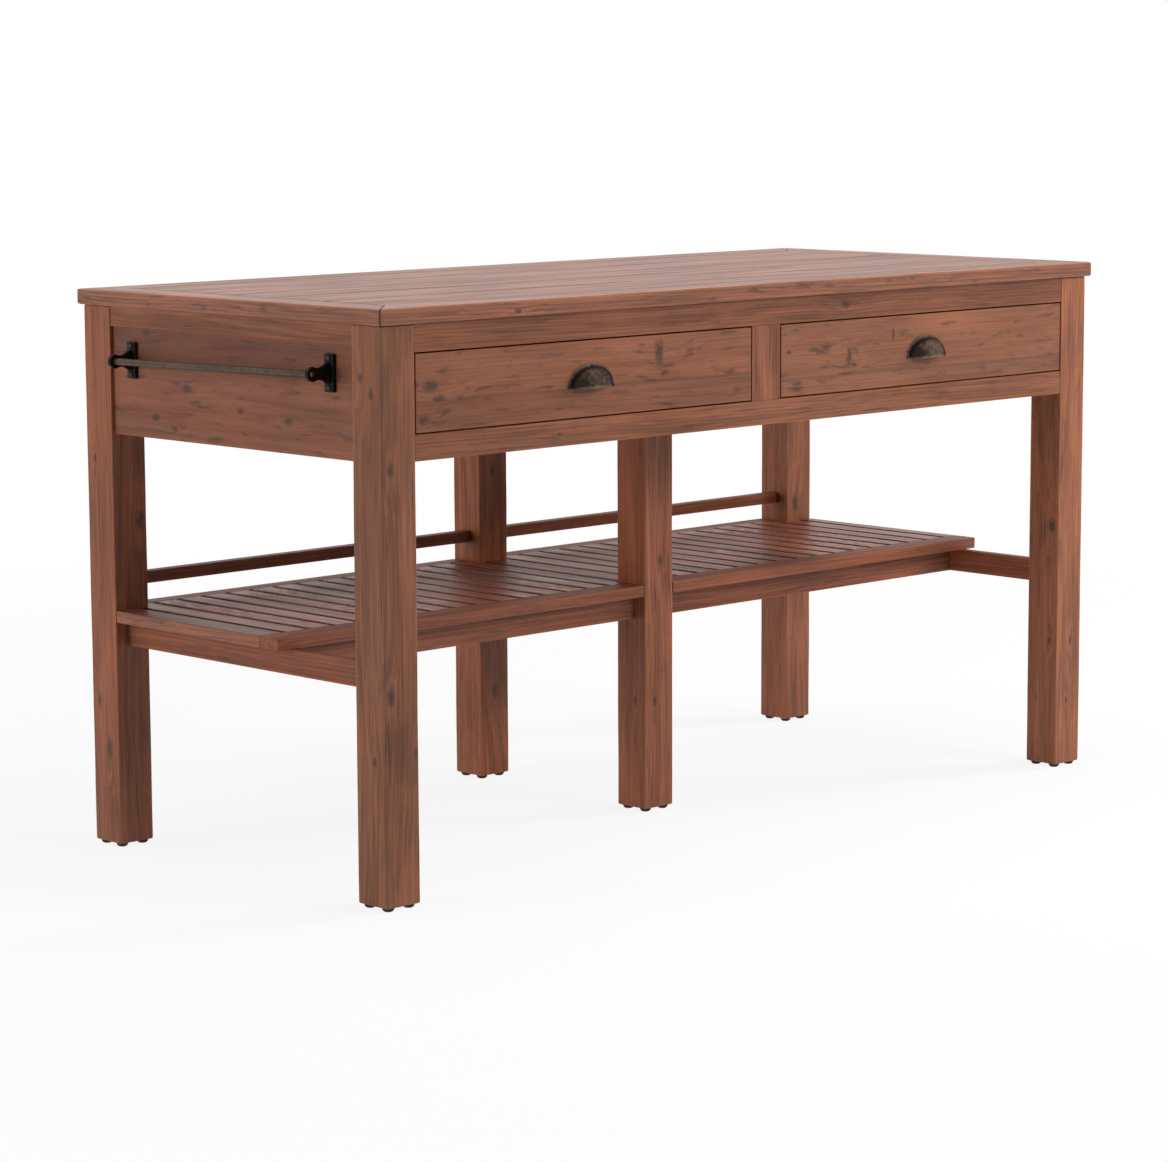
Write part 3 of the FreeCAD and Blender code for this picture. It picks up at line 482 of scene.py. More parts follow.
def pine(name, light, dark, knot, rough, shine, lines, smears):
    """Pine boards, planed, stained and waxed: growth rings cut into arches and lines, long streaks
    where the stain took unevenly, knots that push the grain aside, and small dents and open pores.
    Lines and smears say how much of the fine grain and of the dark smudges shows."""
    if name in bpy.data.materials:
        return bpy.data.materials[name]
    material, tree = new_material(name)
    patterns, core, ring = wood_fibres(tree)
    taken = stain_taken(tree, patterns, ring, lines)
    marks = dark_marks(tree, patterns, core, lines, smears)
    wood = wood_colour(tree, patterns, taken, marks, light, dark, knot)

    # Streaks are duller, and rings and fibres stand a little proud of the marks
    inputs = {"Value": patterns["streak"], "To Min": rough - SMOOTHER, "To Max": rough + ROUGHER}
    rough_here = add(tree, "ShaderNodeMapRange", inputs)
    height = ring
    for pattern, times in ((patterns["fibre"], FIBRE_HEIGHT), (marks, MARK_HEIGHT)):
        height = add(tree, "ShaderNodeMath", {0: pattern, 1: times, 2: height}, operation="MULTIPLY_ADD")
    inputs = {"Height": height, "Strength": GRAIN_STRENGTH, "Distance": GRAIN_DEPTH}
    bump = add(tree, "ShaderNodeBump", inputs)
    shader = add(tree, "ShaderNodeBsdfPrincipled",
                 {"Base Color": wood, "Roughness": rough_here, "Normal": bump, "IOR": WAX_IOR,
                  "Specular IOR Level": shine})
    add(tree, "ShaderNodeOutputMaterial", {"Surface": shader}, None)
    return material


def stained_pine():
    """Straight-grained pine, stained and oiled: an almost matt skin with fine dark lines."""
    paint = colours()
    return pine("oiled_straight_pine", paint.stain_light, paint.stain_dark, paint.knot,
                rough=0.52, shine=0.5, lines=1.1, smears=0.7)


def plain_sawn_pine():
    """Wide plain-sawn pine in the same finish: a calm, cloudy face with dark smudges."""
    paint = colours()
    return pine("oiled_plain_sawn_pine", paint.stain_light, paint.stain_dark, paint.knot,
                rough=0.52, shine=0.5, lines=0.5, smears=1.5)


def waxed_pine():
    """The same stained pine where it is waxed for use: a soft sheen that pales at a low angle."""
    paint = colours()
    return pine("waxed_stained_pine", paint.stain_light, paint.stain_dark, paint.knot,
                rough=0.34, shine=0.5, lines=1.4, smears=1.6)


def raw_pine():
    """Sanded pine left bare: straw-coloured, dull, with faint rings."""
    paint = colours()
    return pine("bare_sanded_pine", paint.raw_light, paint.raw_dark, paint.stain_dark,
                rough=0.6, shine=0.3, lines=0.8, smears=0.3)


def rubbed_finish(name, bright, dark, metallic, rough, grit_mm, bump_mm, stretch=(1, 1, 1), shine=0.5):
    """A dark finish that has rubbed through: mottled, and brighter and smoother where it is worn. Its grit
    gathers in wider patches. A point attribute adds rubbing, patina and painted light and shade."""
    if name in bpy.data.materials:
        return bpy.data.materials[name]
    material, tree = new_material(name)
    place = add(tree, "ShaderNodeTexCoord", out="Object")
    spread = add(tree, "ShaderNodeVectorMath", {0: place, 1: stretch}, operation="MULTIPLY")
    per_grit = 1 / (grit_mm * MM)
    grit = add(tree, "ShaderNodeTexNoise", {"Vector": spread, "Scale": per_grit, "Detail": 4.0})
    inputs = {"Vector": place, "Scale": per_grit / PATCH_WIDE, "Detail": 3.0}
    patch = add(tree, "ShaderNodeTexNoise", inputs)
    wear_and_painted_light = add(tree, "ShaderNodeMath", {0: grit, 1: patch}, operation="MULTIPLY")
    inputs = {"Value": wear_and_painted_light, "From Min": WORN_FROM[0], "From Max": WORN_FROM[1], "To Min": WORN_TO[0],
              "To Max": WORN_TO[1]}
    wear_and_painted_light = add(tree, "ShaderNodeMapRange", inputs)
    # Per point: rubbing and patina, a painted highlight at the bar's ends, painted shade at the pulls' ends
    rub = add(tree, "ShaderNodeAttribute", out="Fac", attribute_name="rub")
    wear_and_painted_light = add(tree, "ShaderNodeMath", {0: wear_and_painted_light, 1: rub}, operation="ADD", use_clamp=True)
    tint = add(tree, "ShaderNodeMix", {FACTOR: wear_and_painted_light, COLOUR_A: (*dark, 1), COLOUR_B: (*bright, 1)},
               MIXED_COLOUR, data_type="RGBA")
    inputs = {"Value": wear_and_painted_light, "To Min": rough + DULL_ROUGHER, "To Max": rough - WORN_SMOOTHER}
    rough_here = add(tree, "ShaderNodeMapRange", inputs)
    inputs = {"Height": grit, "Strength": GRIT_STRENGTH, "Distance": bump_mm * MM}
    bump = add(tree, "ShaderNodeBump", inputs)
    shader = add(tree, "ShaderNodeBsdfPrincipled",
                 {"Base Color": tint, "Metallic": metallic, "Roughness": rough_here, "Normal": bump,
                  "Specular IOR Level": shine})
    add(tree, "ShaderNodeOutputMaterial", {"Surface": shader}, None)
    return material


def pull_bronze():
    """Stamped brass with an antique bronze finish: dark brown, rubbed brighter in cloudy patches."""
    paint = colours()
    return rubbed_finish("antique_bronze_stamping", paint.bronze, paint.patina,
                         metallic=0.85, rough=0.5, grit_mm=7, bump_mm=0.03)


def bar_bronze():
    """Drawn rod in the same finish: darker and smoother, with fine lines along its length."""
    paint = colours()
    return rubbed_finish("antique_bronze_rod", paint.rod, paint.patina,
                         metallic=0.85, rough=0.36, grit_mm=1.2, bump_mm=0.02, stretch=(1, 0.02, 1))


def cast_iron():
    """Sand-cast iron, blackened and waxed: a pebbled skin with a dull shine."""
    iron = colours().iron
    return rubbed_finish("blackened_cast_iron", shaded(iron, 2.2), iron,
                         metallic=0.0, rough=0.36, grit_mm=1.4, bump_mm=0.2, shine=0.1)


def screw_iron():
    """Turned iron screws, blackened: smoother than the casting, with small bright glints."""
    iron = colours().iron
    return rubbed_finish("blackened_screw_iron", shaded(iron, 5), iron,
                         metallic=0.0, rough=0.26, grit_mm=1.0, bump_mm=0.02)


def zinc_steel():
    """Zinc-plated screw steel: pale grey with a faint blotch."""
    steel = colours().steel
    return rubbed_finish("zinc_plated_steel", steel, shaded(steel, 0.6),
                         metallic=1.0, rough=0.34, grit_mm=0.8, bump_mm=0.02)


def glide_plastic():
    """Moulded polyethylene glides: matt dark brown, lightly scuffed."""
    plastic = colours().plastic
    return rubbed_finish("moulded_polyethylene", shaded(plastic, 1.9), plastic,
                         metallic=0.0, rough=0.5, grit_mm=1.2, bump_mm=0.05, shine=0.2)


class Boards:
    """Worn boards gathered into one piece. Each has its own cut of the grain, stain and knots."""

    def __init__(self, seed):
        self.chance = random.Random(seed)
        self.points = []
        self.faces = []
        self.normals = []
        self.grain = []
        self.stain = []
        self.edge = []
        self.knots = [[] for _ in range(KNOTS_PER_BOARD)]

    def new_cut(self, width, height):
        """A random plain-sawn cut from the tree: far along it, with the pith under the wider face."""
        aside = self.chance.uniform(-PITH_ASIDE, PITH_ASIDE)
        under = self.chance.uniform(*PITH_UNDER)
        along = self.chance.uniform(-FAR_ALONG, FAR_ALONG)
        return Vector((along, aside, under) if width > height else (along, under, aside))

    def mark_points(self, count, cut, middle, along, stain, knots):
        """Gives the newest points the board's stain and the places of its knots in its own grain."""
        self.stain += [stain] * count
        marks = [(*(along_board(along, place - middle) + cut), radius * MM) for place, radius in knots]
        marks += [FAR_KNOT] * (KNOTS_PER_BOARD - len(marks))
        for held, mark in zip(self.knots, marks):
            held.extend([mark] * count)

    def add(self, low, high, along, rounding, stain=PLAIN_STAIN, knots=(), trims=(), mitre=None, wear=None,
            end_mark=0.0, wax_and_shade_sides=()):
        """One board from corner to corner with its grain along an axis. A mitre is the axis across it and
        its outer edge there. Wear gives the rounding and the mark of single long edges, and the end mark is
        for both ends. Sides darkened towards a seam or a slit, with dark wax in the top's seams and painted
        shade in the shelf's slits, are (axis, -1 or 1)."""
        across, up = (along + 1) % 3, (along + 2) % 3
        middle = (low + high) / 2
        cut = self.new_cut(high[across] - low[across], high[up] - low[up])
        seed = self.chance.uniform(0, 100)
        first = len(self.points)
        for place, inset, lean in board_stations(low[along], high[along], rounding, trims):
            near = [low[axis] + trim_at(place, trims, axis, -1) + inset for axis in (across, up)]
            far = [high[axis] - trim_at(place, trims, axis, 1) - inset for axis in (across, up)]
            rounds = edge_rounds(place, seed, rounding, wear or {})
            for flat, facing, mark in board_section(near, far, rounds):
                spot = on_axes(along, place, *flat)
                normal = on_axes(along, math.sin(lean), *(math.cos(lean) * part for part in facing))
                self.grain.append(along_board(along, spot - middle) + cut)
                if mitre:
                    axis, outer = mitre
                    spot[along] = mitred(place, low[along], high[along], abs(spot[axis] - outer))
                # Sides towards a seam or slit darken: dark wax in the top's seams, painted shade on the
                # slats
                shades = [-max(0.0, sign * normal[axis]) for axis, sign in wax_and_shade_sides]
                self.points.append(spot)
                self.normals.append(normal)
                self.edge.append(end_mark if lean else min([mark, *shades]))
        self.skin(first)
        self.mark_points(len(self.points) - first, cut, middle, along, stain, knots)

    def skin(self, first):
        """Faces between the sections of the newest board, from its first point on, and over its ends."""
        last = len(self.points) - SECTION_POINTS
        for a in range(first, last, SECTION_POINTS):
            b = a + SECTION_POINTS
            for k in range(SECTION_POINTS):
                following = (k + 1) % SECTION_POINTS
                self.faces.append((a + k, a + following, b + following, b + k))
        self.faces.append(tuple(first + k for k in reversed(range(SECTION_POINTS))))
        self.faces.append(tuple(last + k for k in range(SECTION_POINTS)))

    def piece(self, name, material):
        """The boards as one object."""
        mesh = bpy.data.meshes.new(name)
        mesh.from_pydata(self.points, [], self.faces)
        mesh.shade_smooth()
        mesh.normals_split_custom_set_from_vertices(self.normals)
        self.write_attributes(mesh)
        return new_object(name, mesh, material)

    def dress(self, node, material):
        """The boards in place of a CAD node of stained pine."""
        stand_for(self.piece(f"{node}_worn", material), "stained_pine", node)

    def write_attributes(self, mesh):
        """Grain, stain, edge and knots as attributes of the mesh's points."""
        for name, kind, key, values in (
                ("grain", "FLOAT_VECTOR", "vector", [c for v in self.grain for c in v]),
                ("stain", "FLOAT_VECTOR", "vector", [c for v in self.stain for c in v]),
                ("edge", "FLOAT", "value", self.edge)):
            mesh.attributes.new(name, kind, "POINT").data.foreach_set(key, values)
        for number, marks in enumerate(self.knots, start=1):
            data = mesh.attributes.new(f"knot_{number}", "FLOAT_COLOR", "POINT").data
            data.foreach_set("color", [c for mark in marks for c in mark])


def board_stations(start, end, rounding, trims):
    """Sections along a board: place, inset and lean of the normal, with rounded ends."""
    caps = []
    for step in range(CAP_STEPS + 1):
        lean = math.pi / 2 * step / CAP_STEPS
        caps.append((rounding * (1 - math.sin(lean)), rounding * (1 - math.cos(lean)), lean))
    inner = end - start - 2 * rounding
    count = max(1, round(inner / SECTION_STEP))
    places = [start + rounding + inner * i / count for i in range(1, count)]
    for trim in trims:
        if not trim.soft:
            for place in (trim.start, trim.end):
                places += [place - NOTCH_STEP, place + NOTCH_STEP]
    stations = [(start + depth, inset, -lean) for depth, inset, lean in reversed(caps)]
    stations += [(place, 0.0, 0.0) for place in sorted(places) if start + rounding < place < end - rounding]
    stations += [(end - depth, inset, lean) for depth, inset, lean in caps]
    return stations


def trim_at(place, trims, axis, side):
    """How much the trims take off one side of a board at a place along it."""
    taken = 0.0
    for trim in trims:
        if (trim.axis, trim.side) == (axis, side) and trim.start < place < trim.end:
            part = math.sin(math.pi * (place - trim.start) / (trim.end - trim.start))
            share = min(1.0, SOFT_RISE * part) if trim.soft else 1.0
            taken = max(taken, share * trim.amount)
    return taken


def edge_rounds(place, seed, rounding, wear):
    """Rounding and edge mark of a board's four long edges at a place along it, where wear is uneven."""
    rounds = []
    for number, signs in enumerate(CORNERS):
        steady, mark = wear.get(signs, (rounding, RUBBED))
        uneven = noise.noise(Vector((place * EDGE_WAVES, seed, number * EDGE_APART)))
        rounds.append((steady * (STEADY_ROUND + CHANGING_ROUND * uneven), mark))
    return rounds


def board_section(near, far, rounds):
    """A board's outline at one place along it: points across and up, the way each faces, and its edge
    mark. Each edge is an arc with a point beside either end, where its wear runs out on the flat."""
    centre = [(a + b) / 2 for a, b in zip(near, far)]
    half = [(b - a) / 2 for a, b in zip(near, far)]
    outline = []
    for number, (signs, (rounding, mark)) in enumerate(zip(CORNERS, rounds)):
        radius = min(rounding, MOST_ROUND * min(half))
        reach = min(WEAR_REACH, (min(half) - radius) / 2)
        for step in range(-1, ARC_STEPS + 2):
            on_arc = min(max(step, 0), ARC_STEPS)
            beside = (step - on_arc) * reach
            turn = math.pi / 2 * (number + on_arc / ARC_STEPS)
            facing = (math.cos(turn), math.sin(turn))
            onward = (-facing[1], facing[0])
            spot = [centre[i] + signs[i] * (half[i] - radius) + facing[i] * radius + onward[i] * beside
                    for i in range(2)]
            fade = 1.0 if 0 < step < ARC_STEPS else FAINT_MARK
            outline.append((spot, facing, mark * fade if step == on_arc else 0.0))
    return outline


def mitred(place, start, end, back):
    """A place along a board with both ends mitred, at a distance back from its outer edge."""
    return start + back + (place - start) * (1 - 2 * back / (end - start))


def new_object(name, mesh, material):
    """A mesh in the scene at the origin, with one material."""
    piece = bpy.data.objects.new(name, mesh)
    mesh.materials.clear()
    mesh.materials.append(material)
    bpy.context.scene.collection.objects.link(piece)
    return piece


def stand_for(piece, slot, *nodes):
    """The piece rides with its CAD nodes' body and replaces them. Its slot is not used."""
    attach(piece, frame["nodes"][nodes[0]]["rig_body"])
    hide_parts(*nodes)


def plain_mesh(piece):
    """Turns what a piece's modifiers make into its own plain mesh."""
    bpy.context.view_layer.update()
    graph = bpy.context.evaluated_depsgraph_get()
    mesh = bpy.data.meshes.new_from_object(piece.evaluated_get(graph))
    piece.modifiers.clear()
    piece.data = mesh
    mesh.name = piece.name


def shape_to_mesh(shape, name):
    """A finished bmesh as a mesh."""
    mesh = bpy.data.meshes.new(name)
    shape.to_mesh(mesh)
    shape.free()
    return mesh


def shade_by_angle(mesh, degrees):
    """Smooth shading, with edges kept sharp above an angle."""
    mesh.shade_smooth()
    mesh.set_sharp_from_angle(angle=math.radians(degrees))


def merged_copy(node):
    """A copy of a CAD node's mesh with its loose triangles joined."""
    shape = bmesh.new()
    shape.from_mesh(frame["nodes"][node].data)
    bmesh.ops.remove_doubles(shape, verts=shape.verts, dist=LOOSE_GAP)
    return shape


def eased_copy(name, node, material, rounding, shortest_eased=8 * MM):
    """A copy of a CAD node with its long outer edges eased."""
    shape = merged_copy(node)
    flat, sharp = math.radians(0.5), math.radians(50)
    bmesh.ops.dissolve_limit(shape, angle_limit=flat, verts=shape.verts, edges=shape.edges)
    weights = shape.edges.layers.float.new("bevel_weight_edge")
    for edge in shape.edges:
        if len(edge.link_faces) == 2 and edge.is_convex and edge.calc_length() > shortest_eased:
            edge[weights] = 1.0 if edge.calc_face_angle() > sharp else 0.0
    piece = new_object(name, shape_to_mesh(shape, name), material)
    bevel = piece.modifiers.new("eased edges", "BEVEL")
    bevel.limit_method = "WEIGHT"
    bevel.width = rounding
    bevel.segments = 2
    plain_mesh(piece)
    drop_slivers(piece.data)
    return piece


def drop_slivers(mesh):
    """Merges points that a bevel left on top of each other, and the empty faces between them."""
    shape = bmesh.new()
    shape.from_mesh(mesh)
    bmesh.ops.remove_doubles(shape, verts=shape.verts, dist=SLIVER_GAP)
    bmesh.ops.dissolve_degenerate(shape, dist=SLIVER_GAP, edges=shape.edges)
    shape.to_mesh(mesh)
    shape.free()


def solids_of(mesh):
    """Point numbers of each separate solid in a mesh."""
    beside = [[] for _ in mesh.vertices]
    for edge in mesh.edges:
        a, b = edge.vertices
        beside[a].append(b)
        beside[b].append(a)
    solids = []
    found = set()
    for first in range(len(beside)):
        if first in found:
            continue
        found.add(first)
        solid = [first]
        for point in solid:
            fresh = set(beside[point]) - found
            found |= fresh
            solid.extend(fresh)
        solids.append(solid)
    return solids


def solid_boxes(node):
    """The box of each solid of a CAD node."""
    mesh = shape_to_mesh(merged_copy(node), "merged")
    boxes = [box_of([mesh.vertices[i].co for i in solid]) for solid in solids_of(mesh)]
    bpy.data.meshes.remove(mesh)
    return boxes


def grain_on_copy(piece, seed):
    """Gives every solid of a copied node its own grain, along its longest side."""
    mesh = piece.data
    count = len(mesh.vertices)
    boards = Boards(seed)
    boards.grain = [None] * count
    boards.edge = [0.0] * count
    boards.mark_points(count, None, None, 0, PLAIN_STAIN, ())
    for solid in solids_of(mesh):
        spots = [mesh.vertices[i].co for i in solid]
        low, high = box_of(spots)
        size = high - low
        along = max(range(3), key=lambda axis: size[axis])
        cut = boards.new_cut(*along_board(along, size)[1:])
        for i, spot in zip(solid, spots):
            boards.grain[i] = along_board(along, spot - (low + high) / 2) + cut
    boards.write_attributes(mesh)


def between(node, axis, before, after):
    """The box of a node without the tenons that are hidden in the boards before and after it."""
    low, high = (corner.copy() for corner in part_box(node))
    low[axis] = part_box(before)[1][axis]
    high[axis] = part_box(after)[0][axis]
    return low, high


def face_knots(*marks):
    """Knots as (point, radius in millimetres) from island millimetres x, y, z and the radius."""
    return [(at(x, y, z), radius) for x, y, z, radius in marks]


def glued_boards(boards, low, high, along, joint, stains, knots):
    """A panel in one board, or in a lower and an upper board glued along a joint at a height."""
    rounding = sizes().edge_round
    if joint is None:
        boards.add(low, high, along, rounding, stains[0], knots)
        return
    height = at(0, 0, joint).z
    # Which of a corner's two signs points up in the room
    upwards = 0 if along == Y else 1
    for bottom, top, glued_side, stain in ((low.z, height, 1, stains[0]), (height, high.z, -1, stains[1])):
        glue = (sizes().joint_round / 2, DARK_LINE)
        wear = {signs: glue for signs in CORNERS if signs[upwards] == glued_side}
        own_knots = [mark for mark in knots if bottom <= mark[0].z < top]
        boards.add(Vector((low.x, low.y, bottom)), Vector((high.x, high.y, top)), along, rounding, stain,
                   own_knots, wear=wear)


class ISLAND_OT_legs(bpy.types.Operator):
    """Six square legs with worn edges"""

    bl_idname = "island.legs"
    bl_label = "Legs"

    # The larger knots: x, y, z from the centre of the island, and radius
    knots = {
        "leg_front_left": ((-821, -365, 672, 6.5), (-825, -365, 330, 7), (-773, -365, 238, 6),
                           (-837, -341, 230, 4.5), (-837, -342, 786, 5), (-837, -317, 808, 5)),
        "leg_front_right": ((770, -350, 443, 7), (770, -347, 233, 4), (808, -365, 231, 4),
                            (799, -365, 122, 3.5)),
        "leg_back_left": ((-837, 322, 164, 9), (-837, 344, 640, 4), (-837, 346, 240, 5),
                          (-784, 298, 537, 8)),
        "leg_back_right": ((794, 298, 427, 8), (837, 330, 600, 7), (800, 365, 300, 8)),
        "leg_middle_front": ((-33.5, -91, 193, 4), (3, -116, 433, 5), (-10, -116, 193, 5),
                             (33.5, -80, 500, 7)),
        "leg_middle_back": ((1, 298, 159, 7), (-2, 298, 556, 5), (-33.5, 330, 300, 6), (10, 365, 500, 8)),
    }
    stains = {
        "leg_front_left": (0.95, 0.99, 0.99), "leg_front_right": (1.28, 1.25, 1.22),
        "leg_back_left": (1.06, 0.97, 0.93), "leg_back_right": (0.98, 0.92, 0.88),
        "leg_middle_front": (1.12, 1.03, 0.96), "leg_middle_back": (1.15, 1.02, 0.9),
    }

    def execute(self, context):
        # The nearest edge of the near leg is darker, not rubbed
        dark_edge = {(-1, -1): (sizes().edge_round, DARK_LINE)}
        for number, (node, marks) in enumerate(self.knots.items()):
            boards = Boards(f"leg {number}")
            wear = dark_edge if node == "leg_front_left" else None
            boards.add(*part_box(node), Z, sizes().leg_round, self.stains[node], face_knots(*marks),
                       wear=wear)
            boards.dress(node, stained_pine())
        return {"FINISHED"}


class ISLAND_OT_top(bpy.types.Operator):
    """Planks of the top in their mitred border"""

    bl_idname = "island.top"
    bl_label = "Top"

    # Seams between the planks along Y, and each plank's stain, made bluer by a painted sheen, and knots
    seams = (-162, -38, 62, 184)
    plank_stains_and_sheen = ((0.99, 1.04, 1.2), (1.05, 1.07, 1.21), (0.94, 0.97, 1.12), (1.04, 1.09, 1.24),
                    (1.0, 1.03, 1.18))
    plank_knots = ((), ((-470, -90, 914, 6), (330, -70, 914, 7)), ((-712, 30, 914, 5),),
                   ((-712, 71, 914, 5), (120, 120, 914, 6)), ((-727, 260, 914, 6), (450, 230, 914, 6)))
    plank_gap = 0.3 * MM
    # Open seams: plank in front of the seam, start and end along X
    open_seams = ((0, -565, -90), (1, -685, -200))
    # Border boards: axis along, axis across, outer side across, and knots
    borders = {
        "front": (X, Y, -1, ((-565, -373, 897, 3.5), (-120, -350, 914, 4))),
        "back": (X, Y, 1, ((-350, 373, 900, 6), (260, 350, 914, 5))),
        "left": (Y, X, -1, ((-840, -200, 914, 4),)),
        "right": (Y, X, 1, ()),
    }
    border_stain = (1.05, 1.02, 1.07)

    def plank_trims(self, number):
        """What a plank has shrunk back by at its open seams."""
        trims = []
        for plank, start, end in self.open_seams:
            if number in (plank, plank + 1):
                side = 1 if number == plank else -1
                start, end = at(start, 0, 0).x, at(end, 0, 0).x
                trims.append(Trim(Y, side, start, end, sizes().seam_open, soft=True))
        return trims

    def planks(self):
        """The field of planks, with dark seams."""
        low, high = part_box("top_planks")
        edges = [low.y, *(at(0, seam, 0).y for seam in self.seams), high.y]
        seam = (sizes().seam_round, SEAM_WAX_AND_SHADE)
        boards = Boards("planks")
        for number, (stain, marks) in enumerate(zip(self.plank_stains_and_sheen, self.plank_knots)):
            near = Vector((low.x, edges[number] + self.plank_gap, low.z))
            far = Vector((high.x, edges[number + 1] - self.plank_gap, high.z))
            boards.add(near, far, X, sizes().joint_round, stain, face_knots(*marks),
                       self.plank_trims(number), wear={(1, 1): seam, (-1, 1): seam},
                       wax_and_shade_sides=((Y, -1), (Y, 1)))
        boards.dress("top_planks", waxed_pine())

    def border(self, node, along, across, outer_side, marks):
        """One side of the border, mitred at its ends."""
        low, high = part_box(node)
        outer = (sizes().top_round, RUBBED)
        inner = (sizes().seam_round, SEAM_WAX_AND_SHADE)
        outwards = 0 if across == (along + 1) % 3 else 1
        wear = {signs: outer if signs[outwards] == outer_side else inner for signs in CORNERS}
        edge = high[across] if outer_side == 1 else low[across]
        boards = Boards(node)
        boards.add(low, high, along, sizes().mitre_round, self.border_stain, face_knots(*marks),
                   mitre=(across, edge), wear=wear, end_mark=SEAM_WAX_AND_SHADE)
        boards.dress(node, waxed_pine())

    def execute(self, context):
        self.planks()
        for name, border in self.borders.items():
            self.border(f"top_border_{name}", *border)
        return {"FINISHED"}


class ISLAND_OT_apron(bpy.types.Operator):
    """Rails, divider and panels under the top"""

    bl_idname = "island.apron"
    bl_label = "Apron"

    # Axis along, the boards before and after it, stain, and knots
    rails = {
        "front_upper_rail": (X, "leg_front_left", "leg_front_right", (0.88, 0.85, 0.84),
                             ((195, -364, 870, 6),)),
        "front_lower_rail": (X, "leg_front_left", "leg_front_right", (0.97, 0.97, 0.97),
                             ((-470, -364, 700, 3),)),
        "drawer_divider": (Z, "front_lower_rail", "front_upper_rail", (1.12, 1.1, 1.12), ()),
        "end_rail_left": (Y, "leg_front_left", "leg_back_left", (0.88, 0.88, 0.94), ()),
        "end_rail_right": (Y, "leg_front_right", "leg_back_right", (0.98, 0.97, 0.95), ()),
        "end_panel_left": (Y, "leg_front_left", "leg_back_left", (0.88, 0.87, 0.94),
                           ((-830, 190, 716, 6), (-830, -140, 732, 6), (-830, 109, 767, 7),
                            (-830, -26, 740, 5), (-830, 142, 701, 4), (-830, 208, 850, 6))),
        "end_panel_right": (Y, "leg_front_right", "leg_back_right", (1.0, 0.98, 0.96),
                            ((830, 120, 760, 8), (830, -180, 720, 6))),
        "back_panel_left": (X, "leg_back_left", "leg_middle_back", (0.98, 0.97, 0.95),
                            ((-520, 358, 790, 9), (-210, 358, 730, 7), (-640, 358, 720, 5))),
        "back_panel_right": (X, "leg_middle_back", "leg_back_right", (1.0, 0.98, 0.96),
                             ((310, 358, 810, 8), (560, 358, 720, 9), (150, 358, 750, 5))),
    }
    # Panels glued up from two boards: height of the joint and stain of the upper board
    glue_joints = {
        "end_panel_left": (800, (0.69, 0.65, 0.73)), "end_panel_right": (795, (0.9, 0.86, 0.84)),
        "back_panel_left": (775, (1.04, 1.0, 0.97)), "back_panel_right": (790, (0.92, 0.88, 0.86)),
    }

    def execute(self, context):
        for node, (axis, before, after, stain, marks) in self.rails.items():
            boards = Boards(node)
            low, high = between(node, axis, before, after)
            joint, upper_stain = self.glue_joints.get(node, (None, stain))
            glued_boards(boards, low, high, axis, joint, (stain, upper_stain), face_knots(*marks))
            material = stained_pine() if joint is None else plain_sawn_pine()
            boards.dress(node, material)
        return {"FINISHED"}


class ISLAND_OT_shelf_frame(bpy.types.Operator):
    """Stretchers, shelf rails, guard rails and the boards round the slats"""

    bl_idname = "island.shelf_frame"
    bl_label = "Shelf Frame"

    # Axis along, and the boards before and after it
    rails = {
        "end_stretcher_left": (Y, "leg_front_left", "leg_back_left"),
        "end_stretcher_right": (Y, "leg_front_right", "leg_back_right"),
        "middle_stretcher": (Y, "leg_middle_front", "leg_middle_back"),
        "shelf_rail_front_left": (X, "end_stretcher_left", "leg_middle_front"),
        "shelf_rail_front_right": (X, "leg_middle_front", "end_stretcher_right"),
        "shelf_rail_back_left": (X, "leg_back_left", "leg_middle_back"),
        "shelf_rail_back_right": (X, "leg_middle_back", "leg_back_right"),
        "guard_rail_left": (X, "leg_back_left", "leg_middle_back"),
        "guard_rail_right": (X, "leg_middle_back", "leg_back_right"),
    }
    # Rails in two lengths, and where these meet along X
    butt_joints = {"shelf_rail_front_right": 543}
    stain = (0.88, 0.74, 0.7)
    # The right stretcher took a redder stain
    own_stains = {"end_stretcher_right": (1.25, 0.87, 0.6)}

    def rail(self, node, axis, before, after):
        """One rail between its neighbours, in one length or in two."""
        low, high = between(node, axis, before, after)
        stain = self.own_stains.get(node, self.stain)
        boards = Boards(node)
        if node in self.butt_joints:
            meeting = at(self.butt_joints[node], 0, 0).x
            boards.add(low, Vector((meeting, high.y, high.z)), axis, sizes().joint_round, stain)
            boards.add(Vector((meeting, low.y, low.z)), high, axis, sizes().joint_round, stain)
        else:
            boards.add(low, high, axis, sizes().edge_round, stain)
        boards.dress(node, stained_pine())

    def execute(self, context):
        for node, place in self.rails.items():
            self.rail(node, *place)
        for side in ("left", "right"):
            for edge in ("front", "back"):
                node = f"shelf_{edge}_board_{side}"
                boards = Boards(node)
                boards.add(*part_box(node), X, sizes().edge_round, self.stain)
                boards.dress(node, stained_pine())
        return {"FINISHED"}


def node_tree(name, inputs):
    """An empty geometry tree with a geometry in and out and the named inputs."""
    tree = bpy.data.node_groups.new(name, "GeometryNodeTree")
    tree.interface.new_socket("Geometry", in_out="INPUT", socket_type="NodeSocketGeometry")
    tree.interface.new_socket("Geometry", in_out="OUTPUT", socket_type="NodeSocketGeometry")
    for label, kind in inputs.items():
        tree.interface.new_socket(label, in_out="INPUT", socket_type=f"NodeSocket{kind}")
    return tree, add(tree, "NodeGroupInput", out=None)


